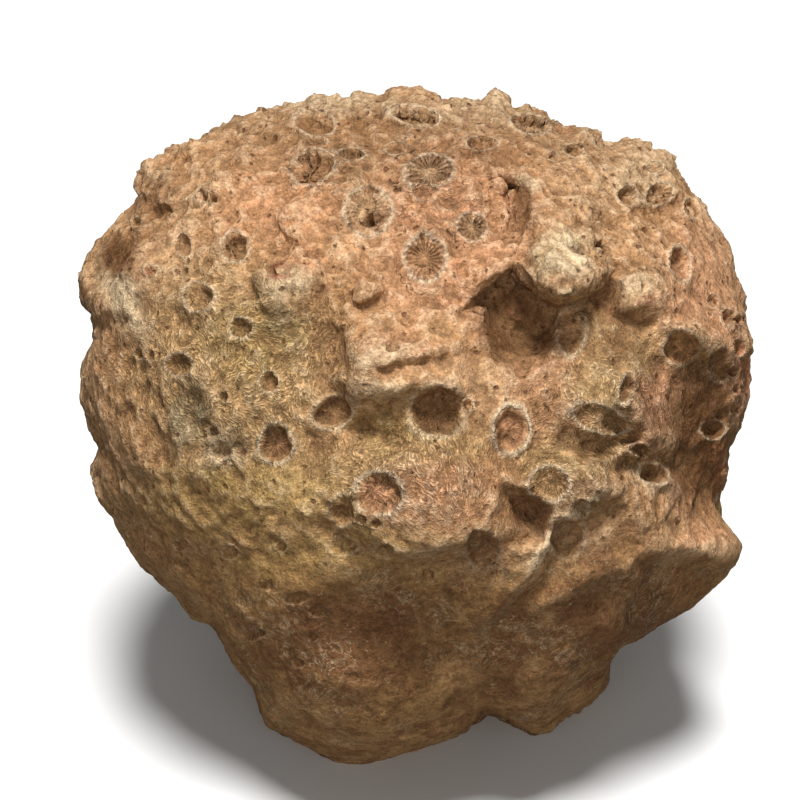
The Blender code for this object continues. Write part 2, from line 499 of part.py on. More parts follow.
def oval(places, across, down, wide, tall, turn):
    """How far out each place lies in an oval, 0 at its middle and 1 at its edge, and its angle there."""
    angle = math.radians(turn)
    x = places[:, 0] - across
    y = down - places[:, 1]
    along = x * math.cos(angle) + y * math.sin(angle)
    over = y * math.cos(angle) - x * math.sin(angle)
    return np.hypot(along / (wide / 2), over / (tall / 2)), np.arctan2(over, along)


def beside_line(places, line):
    """Distance of each place from a line, above it positive, and the share of the line's length there."""
    corners = np.array(line, float)
    steps = np.diff(corners, axis=0)
    lengths = np.linalg.norm(steps, axis=1)
    total = lengths.sum()
    best = np.full(len(places), np.inf)
    side = np.zeros(len(places))
    share = np.zeros(len(places))
    run = 0.0
    for start, step, length in zip(corners[:-1], steps, lengths):
        offset = places - start
        t = np.clip(offset @ step / length**2, 0.0, 1.0)
        apart = np.linalg.norm(offset - t[:, None] * step, axis=1)
        nearer = apart < best
        above = offset[:, 0] * step[1] - offset[:, 1] * step[0] > 0
        best = np.where(nearer, apart, best)
        side = np.where(nearer, np.where(above, 1.0, -1.0), side)
        share = np.where(nearer, (run + t * length) / total, share)
        run += length
    return best * side, share


def field(points, size, offset):
    """Soft noise from -1 to 1 over the stone, so many metres wide."""
    return np.array([noise.noise(spot) for spot in (points / size + offset).tolist()])


# What stirs a cell's number into chance values.
CHANCE_MIX = ((12.7, 26.9, 11.3), (31.1, 18.3, 27.1), (7.47, 24.6, 12.4))
CHANCE_SPREAD = 43758.5


def cell_chance(cells, salt):
    """Three steady chance values from 0 to 1 for each cell."""
    stirred = CHANCE_SPREAD * np.sin(cells @ np.array(CHANCE_MIX) + salt)
    return stirred - np.floor(stirred)


def chips(points, size, salt):
    """Chipped faces about so wide, each leaning its own way, with heights of about -0.5 to 0.5."""
    spots = points / size
    own = np.floor(spots)
    nearest = np.full(len(spots), 9.0)
    second = nearest.copy()
    lean = np.zeros(len(spots))
    other_lean = lean.copy()
    for step in itertools.product((-1, 0, 1), repeat=3):
        cells = own + step
        offset = spots - cells - cell_chance(cells, salt)
        apart = np.linalg.norm(offset, axis=1)
        this_lean = np.einsum("ij,ij->i", offset, cell_chance(cells, salt + 7.7) * 2 - 1)
        closest = apart < nearest
        next_closest = ~closest & (apart < second)
        second = np.where(closest, nearest, np.where(next_closest, apart, second))
        other_lean = np.where(closest, lean, np.where(next_closest, this_lean, other_lean))
        nearest = np.where(closest, apart, nearest)
        lean = np.where(closest, this_lean, lean)
    share = 0.5 + 0.5 * ease(0.0, 0.16, second - nearest)
    return lean * share + other_lean * (1 - share)


def outline_radius(angles, spread):
    """The outline's distance from the picture's middle in metres, smoothed over an angle in radians."""
    corners = (np.array(OUTLINE, float) - PICTURE_MIDDLE) * (POINT, -POINT)
    bearings = np.arctan2(corners[:, 1], corners[:, 0])
    reach = np.hypot(corners[:, 0], corners[:, 1])
    fine = np.linspace(-math.pi, math.pi, 1441)[:-1]
    drawn = np.interp(fine, *map(np.array, zip(*sorted(zip(bearings, reach)))), period=2 * math.pi)
    apart = np.angle(np.exp(1j * (fine[:, None] - fine[None, :])))
    weights = np.exp(-((apart / spread) ** 2))
    smooth = (weights @ drawn) / weights.sum(axis=1)
    return np.interp(angles, fine, smooth, period=2 * math.pi)


def ball(points):
    """Unit points on a sphere, moved out to the stone's overall form."""
    right, up, toward = points @ FRONT.right, points @ FRONT.up, points @ FRONT.toward
    bearing = np.arctan2(up, right)
    flat = np.hypot(right, up)
    shown_by = DEPTH_IN_FRONT / SIGHT_DISTANCE
    near_edge = np.exp(-(((np.arcsin(np.clip(toward, -1, 1)) - shown_by) / math.radians(13)) ** 2))
    broad = outline_radius(bearing, math.radians(16))
    fine = outline_radius(bearing, math.radians(0.8))
    radius = (broad + (fine - broad) * near_edge) / (1 + shown_by**2 / 2) - GRAIN_ALLOWANCE
    depth = np.where(toward > 0, DEPTH_IN_FRONT, DEPTH_BEHIND)
    return (
        (radius * flat * np.cos(bearing))[:, None] * FRONT.right
        + (radius * flat * np.sin(bearing))[:, None] * FRONT.up
        + (depth * toward)[:, None] * FRONT.toward
    )


def swell_sides(points):
    """Broad swells on the sides that the front doesn't show."""
    from_middle = points / np.linalg.norm(points, axis=1, keepdims=True)
    hidden = ease(0.0, -0.3, from_middle @ FRONT.toward)
    height = np.zeros(len(points))
    for size, rise in SIDE_SWELLS:
        height += rise * field(points, size, 5.1)
    return points + from_middle * (height * hidden)[:, None]


def set_on_foot(points):
    """Carries the ball's underside straight down inside the foot's plan."""
    plan = np.array(FOOT_PLAN, float) * MM
    middle = np.array(FOOT_MIDDLE, float) * MM
    corners = plan - middle
    bearings = np.arctan2(corners[:, 1], corners[:, 0])
    reach = np.hypot(corners[:, 0], corners[:, 1])
    offset = points[:, :2] - middle
    edge = np.interp(
        np.arctan2(offset[:, 1], offset[:, 0]), *map(np.array, zip(*sorted(zip(bearings, reach)))),
        period=2 * math.pi,
    )
    out = np.hypot(offset[:, 0], offset[:, 1]) / edge
    wobble = field(points, FOOT_WOBBLE, 0.0)
    flare = ease(0.0, FOOT_FLARES_BEHIND, offset[:, 1]) * (0.45 + 0.5 * wobble)
    inside = (1 - ease(0.95, 1.04 + flare, out)) * (points[:, 2] < 0)
    lowered = points.copy()
    lowered[:, 2] += inside * (np.minimum(points[:, 2], -FOOT_REACHES_DOWN) - points[:, 2])
    return lowered


def push_big_forms(points, view, bulges, ledges):
    """The bulges, hollows and ledges that one picture shows, pushed along the line of sight."""
    places = view.places(points)
    from_middle = points / np.linalg.norm(points, axis=1, keepdims=True)
    turned = from_middle @ view.toward
    head_on = ease(0.3, 0.75, turned)[:, None]
    raising = view.sight_lines(points)
    sinking = raising * head_on + from_middle * (1 - head_on)
    facing = ease(-0.15, 0.15, turned)
    moved = points.copy()
    for across, down, wide, tall, turn, near, right, up in bulges.values():
        out, _ = oval(places, across, down, wide, tall, turn)
        weight = (1 - ease(0.15, 1.15, out)) * facing * MM
        moved += (weight * near)[:, None] * (raising if near > 0 else sinking)
        moved += weight[:, None] * (right * view.right + up * view.up)
    for line, rise, reach, cut, drop, hang in ledges.values():
        side, share = beside_line(places, line)
        side = side * POINT / MM
        ends = ease(0.0, 0.18, share) * ease(0.0, 0.18, 1 - share) * facing * MM
        above = ease(-0.5, 0.5, side)
        raised = above * np.exp(-((np.maximum(side, 0) / reach) ** 2)) * rise
        lowered = (1 - above) * np.exp(-((np.minimum(side, 0) / drop) ** 2)) * cut
        lip = above * np.exp(-((np.maximum(side, 0) / 3.0) ** 2)) * hang
        moved += (raised * ends)[:, None] * raising - (lowered * ends)[:, None] * sinking
        moved -= (lip * ends)[:, None] * view.up
    return moved


def face_heights(places):
    """The push in mm at each place, running flat between the edges of the broken faces."""
    spots = []
    pushes = []
    joined = []
    for line in FACES.values():
        for index, (across, down, push) in enumerate(line):
            if index:
                joined.append((len(spots) - 1, len(spots)))
            spots.append(Vector((across, down)))
            pushes.append(push)
    corners, _, faces, sources, _, _ = delaunay_2d_cdt(spots, joined, [], 0, 0.01)
    heights = np.zeros(len(places))
    tops = [max((pushes[k] for k in source), key=abs, default=None) for source in sources]
    for face in faces:
        a, b, c = (np.array(corners[k]) for k in face)
        low, high = np.minimum(np.minimum(a, b), c), np.maximum(np.maximum(a, b), c)
        near = np.flatnonzero(((places >= low) & (places <= high)).all(axis=1))
        area = (b[0] - a[0]) * (c[1] - a[1]) - (c[0] - a[0]) * (b[1] - a[1])
        offset = places[near] - a
        along = (offset[:, 0] * (c[1] - a[1]) - offset[:, 1] * (c[0] - a[0])) / area
        over = (offset[:, 1] * (b[0] - a[0]) - offset[:, 0] * (b[1] - a[1])) / area
        inside = (along >= -1e-6) & (over >= -1e-6) & (along + over <= 1 + 1e-6)
        first, second, third = (tops[k] for k in face)
        push = first + along * (second - first) + over * (third - first)
        heights[near[inside]] = push[inside]
    return heights


def push_faces(points):
    """The broken faces of the front, with edges that wander a little."""
    places = FRONT.places(points)
    places = places + np.stack((field(points, 7 * MM, 4.4), field(points, 7 * MM, 8.8)), axis=1) * 2.2
    places += np.stack((field(points, 2.5 * MM, 6.2), field(points, 2.5 * MM, 2.6)), axis=1) * 1.2
    facing = ease(-0.15, 0.15, points @ FRONT.toward / np.linalg.norm(points, axis=1))
    out = np.min([oval(places, *part)[0] for part in CRISP_PARTS], axis=0)
    worn = (CRISP_WEAR + (SOFT_WEAR - CRISP_WEAR) * ease(0.75, 1.15, out))[:, None]
    steps = ((0, 0), (1, 0), (-1, 0), (0, 1), (0, -1), (0.7, 0.7), (-0.7, 0.7), (0.7, -0.7), (-0.7, -0.7))
    push = sum(face_heights(places + worn * step) for step in steps) / len(steps)
    return points + FRONT.sight_lines(points) * (push * facing * MM)[:, None]


def coordinates(mesh, kind):
    """The mesh's points or normals as an array."""
    values = np.empty(len(mesh.vertices) * 3, np.float32)
    mesh.vertices.foreach_get(kind, values)
    return values.reshape(-1, 3).astype(float)


def set_coordinates(mesh, points):
    mesh.vertices.foreach_set("co", np.ascontiguousarray(points, np.float32).ravel())
    mesh.update()


def outward(mesh):
    """The surface's directions out, evened by the way out from the stone's middle."""
    points = coordinates(mesh, "co")
    from_middle = points / np.linalg.norm(points, axis=1, keepdims=True)
    mixed = coordinates(mesh, "normal") + 0.6 * from_middle
    return mixed / np.linalg.norm(mixed, axis=1, keepdims=True)


def cup_profile(out, angle, depth, rim, seed):
    """Height over a cup: a dished floor, a steep wall and a raised lip that isn't quite round."""
    ragged = 1 + 0.06 * np.sin(3 * angle + seed) + 0.05 * np.sin(5 * angle + 2.3 * seed)
    q = out * ragged
    floor = 1 - ease(0.6, 1.0, q)
    lip = np.exp(-(((q - 1.05) / np.where(q < 1.05, 0.11, 0.26)) ** 2))
    lip *= 0.7 + 0.35 * np.sin(2 * angle + 1.7 * seed) + 0.25 * np.sin(7 * angle + 2.9 * seed)
    return (0.85 * rim * lip - 0.85 * depth * floor) * MM


def carve(mesh, view, cups, ridges):
    """The cups and ridges that one picture shows."""
    points = coordinates(mesh, "co")
    directions = outward(mesh)
    places = view.places(points)
    facing = ease(-0.05, 0.15, np.einsum("ij,ij->i", directions, view.sight_lines(points)))
    height = np.zeros(len(points))
    for index, (across, down, wide, tall, turn, depth, rim) in enumerate(cups.values()):
        near = np.flatnonzero(np.abs(places - (across, down)).max(axis=1) < max(wide, tall))
        out, angle = oval(places[near], across, down, wide, tall, turn)
        height[near] += cup_profile(out, angle, depth, rim, index)
    for line, half_width, rise in ridges.values():
        side, share = beside_line(places, line)
        ends = ease(0.0, 0.2, share) * ease(0.0, 0.2, 1 - share)
        height += rise * MM * ends * np.exp(-((side * POINT / MM / half_width) ** 2))
    set_coordinates(mesh, points + directions * (height * facing)[:, None])


def scatter_cups(mesh):
    """Seeded cups all over the sides that the front doesn't show, fewer of them underneath."""
    chance = random.Random(SCATTER_SEED)
    points = coordinates(mesh, "co")
    directions = outward(mesh)
    seen = np.einsum("ij,ij->i", directions, FRONT.sight_lines(points))
    tree = KDTree(len(points))
    for index, point in enumerate(points):
        tree.insert(point, index)
    tree.balance()
    middles = []
    height = np.zeros(len(points))
    hidden = np.flatnonzero(seen < 0.02)
    tries = 0
    while len(middles) < SCATTERED_CUPS and tries < 4000:
        tries += 1
        index = int(hidden[chance.randrange(len(hidden))])
        middle = Vector(points[index])
        if any((middle - other).length < SCATTER_GAP * chance.uniform(0.7, 1.3) for other in middles):
            continue
        if directions[index][2] < -0.35 and chance.random() < 0.6:
            continue
        middles.append(middle)
        half = chance.uniform(*CUP_HALF_WIDTHS)
        stretch = chance.uniform(0.75, 1.3)
        normal = Vector(directions[index])
        along = normal.orthogonal().normalized()
        along.rotate(normal.to_track_quat("Z", "Y"))
        along = (along - normal * along.dot(normal)).normalized()
        over = normal.cross(along)
        near = [found[1] for found in tree.find_range(middle, half * 2.2)]
        offset = points[near] - points[index]
        x = offset @ np.array(along) / (half * stretch)
        y = offset @ np.array(over) / (half / stretch)
        depth = half / MM * chance.uniform(0.35, 0.65)
        rim = chance.uniform(0.4, 1.0)
        height[near] += cup_profile(np.hypot(x, y), np.arctan2(y, x), depth, rim, tries)
    set_coordinates(mesh, points + directions * (height * ease(0.1, -0.05, seen))[:, None])


def crown(points):
    """1 on the broken crown of the stone, 0 below it."""
    return ease(*CROWN_HEIGHTS, points[:, 2])


def calmness(points, directions):
    """1 where the stone is smooth, below the brow and on whatever faces down, and 0 on its rough top."""
    down = FRONT.places(points)[:, 1]
    shown = ease(-0.1, 0.2, points @ FRONT.toward / np.linalg.norm(points, axis=1))
    low = shown * ease(490, 600, down) + (1 - shown) * ease(-10 * MM, -45 * MM, points[:, 2])
    return np.maximum(low, ease(0.0, -0.6, directions[:, 2]))


def roughen(mesh, finest):
    """Broken grain: wide swells, chipped facets and small knobbly lumps."""
    points = coordinates(mesh, "co")
    directions = outward(mesh)
    under = calmness(points, directions)
    rougher = 1 + CROWN_ROUGHER * crown(points)
    height = np.zeros(len(points))
    for size, rise in SWELLS:
        if size < finest:
            continue
        height += rise * field(points, size, 0.0) * (1 - 0.45 * under)
    for size, rise in SCALLOPS:
        bent = points + np.stack([field(points, size, k) for k in (1.5, 3.5, 5.5)], axis=1) * 0.35 * size
        apart = np.array([noise.voronoi(spot)[0][0] for spot in (bent / size).tolist()])
        some = ease(-0.25, 0.25, field(points, 4 * size, 9.1))
        height += rise * (apart**2 * 2.2 - 0.5) * some * (1 - 0.9 * under) * rougher
    for size, rise, calm_share in CHIPS:
        if size < finest:
            continue
        stir = np.stack([field(points, 0.6 * size, k) for k in (2.5, 4.5, 6.5)], axis=1)
        bent = points + stir * 0.25 * size
        height += rise * chips(bent, size, size / MM) * (1 - (1 - calm_share) * under) * rougher
    for size, rise in CRESTS:
        folds = field(points, size, 31.7)
        height += rise * (0.5 - 2.0 * np.abs(folds)) * (1 - 0.75 * under)
    set_coordinates(mesh, points + directions * height[:, None])


def apply_modifier(rock, kind, **settings):
    modifier = rock.modifiers.new(kind.title(), kind)
    for name, value in settings.items():
        setattr(modifier, name, value)
    bpy.context.view_layer.objects.active = rock
    rock.select_set(True)
    bpy.ops.object.modifier_apply(modifier=modifier.name)


def keep_outer_skin(mesh):
    """Drops the pockets that folded ledges or the flat break seal off, and keeps the one outer skin."""
    skin = bmesh.new()
    skin.from_mesh(mesh)
    unseen = set(skin.verts)
    shells = []
    while unseen:
        shell = {unseen.pop()}
        front = list(shell)
        while front:
            corner = front.pop()
            for edge in corner.link_edges:
                other = edge.other_vert(corner)
                if other in unseen:
                    unseen.remove(other)
                    shell.add(other)
                    front.append(other)
        shells.append(shell)
    outer = max(shells, key=len)
    bmesh.ops.delete(skin, geom=[corner for corner in skin.verts if corner not in outer], context="VERTS")
    skin.to_mesh(mesh)
    skin.free()


def break_off_flat(mesh, level):
    """Cuts the stone off flat at a height, closes the cut and keeps the part above it."""
    cut = bmesh.new()
    cut.from_mesh(mesh)
    geometry = cut.verts[:] + cut.edges[:] + cut.faces[:]
    bmesh.ops.bisect_plane(
        cut, geom=geometry, plane_co=(0, 0, level), plane_no=(0, 0, -1), clear_outer=True
    )
    bmesh.ops.holes_fill(cut, edges=[edge for edge in cut.edges if edge.is_boundary])
    bmesh.ops.triangulate(cut, faces=cut.faces[:])
    cut.to_mesh(mesh)
    cut.free()


def stand_on_origin(mesh):
    """Moves the stone so that its box stands on the origin."""
    points = coordinates(mesh, "co")
    low, high = points.min(axis=0), points.max(axis=0)
    set_coordinates(mesh, points - ((low[0] + high[0]) / 2, (low[1] + high[1]) / 2, low[2]))


def stone_material():
    material = bpy.data.materials.new("weathered_limestone")
    material.use_nodes = True
    shader = material.node_tree.nodes["Principled BSDF"]
    shader.inputs["Base Color"].default_value = (0.42, 0.27, 0.15, 1)
    shader.inputs["Roughness"].default_value = 0.92
    shader.inputs["Metallic"].default_value = 0.0
    return material


def make_rock():
    """The stone as one mesh: the ball, its big forms, its foot, its grain, its cups and ridges, its break."""
    bpy.ops.mesh.primitive_ico_sphere_add(subdivisions=START_SPLITS, radius=1.0)
    rock = bpy.context.object
    rock.name = "coral_rock"
    rock.data.name = "coral_rock"
    mesh = rock.data
    unit = coordinates(mesh, "co")
    unit /= np.linalg.norm(unit, axis=1, keepdims=True)
    points = swell_sides(ball(unit))
    points = push_big_forms(points, FRONT, BULGES, LEDGES)
    points = push_faces(points)
    points = push_big_forms(points, BACK, BACK_BULGES, BACK_LEDGES)
    set_coordinates(mesh, set_on_foot(points))
    apply_modifier(rock, "REMESH", mode="VOXEL", voxel_size=SKIN_MESH)
    keep_outer_skin(mesh)
    roughen(mesh, FINEST)
    carve(mesh, FRONT, CUPS, RIDGES)
    carve(mesh, BACK, {}, BACK_RIDGES)
    scatter_cups(mesh)
    apply_modifier(rock, "TRIANGULATE")
    apply_modifier(rock, "DECIMATE", ratio=TRIANGLES / len(mesh.polygons))
    break_off_flat(mesh, -BREAK_DROP)
    keep_outer_skin(mesh)
    stand_on_origin(mesh)
    mesh.materials.append(stone_material())


for item in list(bpy.data.objects):
    bpy.data.objects.remove(item, do_unlink=True)

make_rock()
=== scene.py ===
"""The looks of a weathered head of coral limestone, on a plain pale floor under a broad overhead light.

Metres, +Z up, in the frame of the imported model. The stone is one piece, modelled from a ball by the
same forms as its solid, with a finer skin, and finished with one procedural stone material.
"""

import itertools
import math
import random

import bmesh
import bpy
import numpy as np
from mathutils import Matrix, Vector, noise
from mathutils.geometry import delaunay_2d_cdt
from mathutils.kdtree import KDTree


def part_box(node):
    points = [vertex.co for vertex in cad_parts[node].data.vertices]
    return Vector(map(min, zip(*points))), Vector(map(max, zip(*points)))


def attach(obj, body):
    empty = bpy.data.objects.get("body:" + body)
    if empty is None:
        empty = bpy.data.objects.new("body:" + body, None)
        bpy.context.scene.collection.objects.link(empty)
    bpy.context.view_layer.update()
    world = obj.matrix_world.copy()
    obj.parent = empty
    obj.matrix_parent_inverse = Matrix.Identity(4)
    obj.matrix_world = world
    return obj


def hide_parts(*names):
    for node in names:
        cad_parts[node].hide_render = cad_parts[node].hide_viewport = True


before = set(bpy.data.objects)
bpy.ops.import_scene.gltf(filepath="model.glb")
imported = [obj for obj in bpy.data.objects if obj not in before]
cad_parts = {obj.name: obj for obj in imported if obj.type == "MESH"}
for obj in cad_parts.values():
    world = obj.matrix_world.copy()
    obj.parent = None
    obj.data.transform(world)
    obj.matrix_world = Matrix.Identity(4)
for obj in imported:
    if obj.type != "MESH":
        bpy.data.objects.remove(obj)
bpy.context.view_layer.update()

MM = 0.001
ROUNDING = 1e-6

# The driving sizes: how wide the stone is, how far under the ball's middle it is broken off, how much its
# grain stands out past the outline, and how far it reaches before and behind the middle.
ACROSS = 180 * MM
BREAK_DROP = 84 * MM
GRAIN_ALLOWANCE = 0.55 * MM
DEPTH_IN_FRONT = 88 * MM
DEPTH_BEHIND = 85 * MM

# How finely the stone is meshed.
TRIANGLES = 196000
START_SPLITS = 8
SKIN_MESH = 0.55 * MM

# The way of the fine ribs: the lean they drift about, how wide and how strong the drift is and how much it
# counts, the least cup in picture points that they run round, and how much and how far a cup counts.
RIB_LEAN = (0.5, -0.2, -0.8)
RIB_DRIFT = 16 * MM
RIB_DRIFTS_BY = 1.6
RIB_DRIFT_COUNTS = 0.35
RIB_LEAST_CUP = 12
RIB_CUP_COUNTS = 1.6
RIB_CUP_REACH = 1.3

# In picture points, what is added to the distance of a place that turns away from the eye.
OUT_OF_SIGHT = 1000

# In millimetres, how wide and long a loose rib is, how wide a bundle of ribs, and how far apart the even
# ribs and the pits lie.
RIB_WIDE = 0.34
RIB_LONG = 1.5
RIB_BUNDLE = 3.4
RIB_APART = 1.0
PIT_APART = 2.3

# The stage: the floor, the light of the room, the broad light overhead and a weak soft box in front.
FLOOR_ACROSS = 6.0
FLOOR_TONE = (0.85, 0.845, 0.835, 1)
ROOM_TONE = (1.0, 0.98, 0.95, 1)
ROOM_LIGHT = 0.13
SUN_DIRECTION = (0.02, -0.34, 0.94)
SUN_STRENGTH = 4.2
SUN_SPREAD = math.radians(15)
FILL_PLACE = (0.0, -1.2, 0.25)
FILL_AIM = (0.0, 0.0, 0.08)
FILL_ACROSS = 1.2
FILL_POWER = 8.0
SENSOR = 36.0
PICTURE_SIZE = 800

# The front is drawn on a picture of 800 by 800 points, seen from 24 degrees above the level.
PICTURE_ACROSS = 684
PICTURE_MIDDLE = (415, 425)
POINT = ACROSS / PICTURE_ACROSS
SIGHT_RISE = math.radians(24)
SIGHT_DISTANCE = 620 * MM


class View:
    """A side that the stone is drawn from: what is right, up and toward the eye there."""

    def __init__(self, turn, rise):
        self.right = np.array((math.cos(turn), math.sin(turn), 0.0))
        self.toward = np.array(
            (math.sin(turn) * math.cos(rise), -math.cos(turn) * math.cos(rise), math.sin(rise))
        )
        self.up = np.cross(self.toward, self.right)

    def places(self, points):
        """The across and down place of each point in the picture."""
        shrink = SIGHT_DISTANCE / (SIGHT_DISTANCE - points @ self.toward) / POINT
        across = PICTURE_MIDDLE[0] + (points @ self.right) * shrink
        down = PICTURE_MIDDLE[1] - (points @ self.up) * shrink
        return np.stack((across, down), axis=1)

    def sight_lines(self, points):
        """The unit vector from each point to the eye."""
        return unit(SIGHT_DISTANCE * self.toward - points)


FRONT = View(0.0, SIGHT_RISE)
BACK = View(math.radians(172), math.radians(12))

# The outline's reach is smoothed twice, over a broad and a fine angle, in so many steps round. The fine one
# counts in a narrow band about the edge that the eye sees.
OUTLINE_STEPS = 1440
OUTLINE_BROAD = math.radians(16)
OUTLINE_FINE = math.radians(0.8)
OUTLINE_BAND = math.radians(13)

# The outline in the picture, clockwise from the top.
OUTLINE = (
    (413, 86), (458, 99), (476, 107), (502, 103), (514, 114), (541, 116), (553, 131), (586, 133),
    (600, 148), (614, 150), (631, 142), (662, 162), (674, 178), (702, 205), (718, 225), (730, 250),
    (741, 291), (747, 326), (755, 345), (750, 368), (747, 405), (740, 427), (723, 455), (726, 475),
    (716, 500), (724, 522), (742, 549), (730, 577), (695, 605), (662, 625), (640, 636), (615, 643),
    (610, 660), (609, 684), (591, 705), (567, 717), (551, 734), (534, 737), (513, 723), (483, 709),
    (471, 729), (440, 743), (406, 752), (365, 763), (337, 762), (299, 743), (263, 726), (253, 691),
    (234, 666), (215, 630), (187, 624), (172, 601), (137, 565), (113, 519), (97, 501), (89, 467),
    (100, 450), (78, 399), (80, 373), (95, 340), (96, 318), (75, 301), (74, 271), (98, 244),
    (122, 219), (142, 204), (147, 164), (170, 156), (210, 132), (245, 121), (280, 109), (327, 100),
    (378, 94),
)

# How far toward the eye a surface has to turn for a picture's forms to count on it, and for its hollows to
# sink straight along the sight.
TURNED_IN = (-0.15, 0.15)
HEAD_ON = (0.3, 0.75)

# Where the push of a big form fades out, as shares of its half width, what share of the line of a ledge or
# a ridge each of its ends fades over, and how many mm up from a ledge's line its hanging lip reaches.
FORM_EDGE = (0.15, 1.15)
LEDGE_ENDS = 0.18
RIDGE_ENDS = 0.2
LEDGE_LIP = 3.0

# Big forms. A bulge is (across, down, wide, tall, turn, push towards the eye in mm).
BULGES = {
    "saddle between ledge and plate": (326, 350, 50, 70, 0, -3.0),
    "left fullness": (170, 340, 300, 420, 0, 8.0),
    "left shoulder": (235, 170, 130, 80, -25, 3.0),
    "hollow high on the right": (663, 213, 50, 40, 20, -3.0),
    "high right mound": (600, 180, 80, 46, 15, 2.5),
    "right middle mound": (600, 390, 120, 90, 0, 4.0),
    "right bulge": (712, 482, 40, 44, 0, 1.0),
    "brow right of the saddle": (590, 480, 90, 60, -20, 4.0),
    "middle brow": (415, 490, 200, 120, 0, 5.0),
    "left brow": (290, 505, 160, 100, 0, 2.5),
    "dark underside": (420, 640, 300, 180, 0, -9.0),
    "lower left underside": (215, 590, 190, 130, -30, -2.0),
    "cleft between the feet": (486, 690, 50, 70, 12, -2.0),
    "left foot": (350, 700, 170, 110, 0, 3.0),
    "right foot": (548, 700, 90, 90, 0, 4.0),
    "lower left bulge": (188, 610, 46, 34, 0, 3.0),
    "left side bulge": (98, 484, 34, 56, 0, 3.0),
}

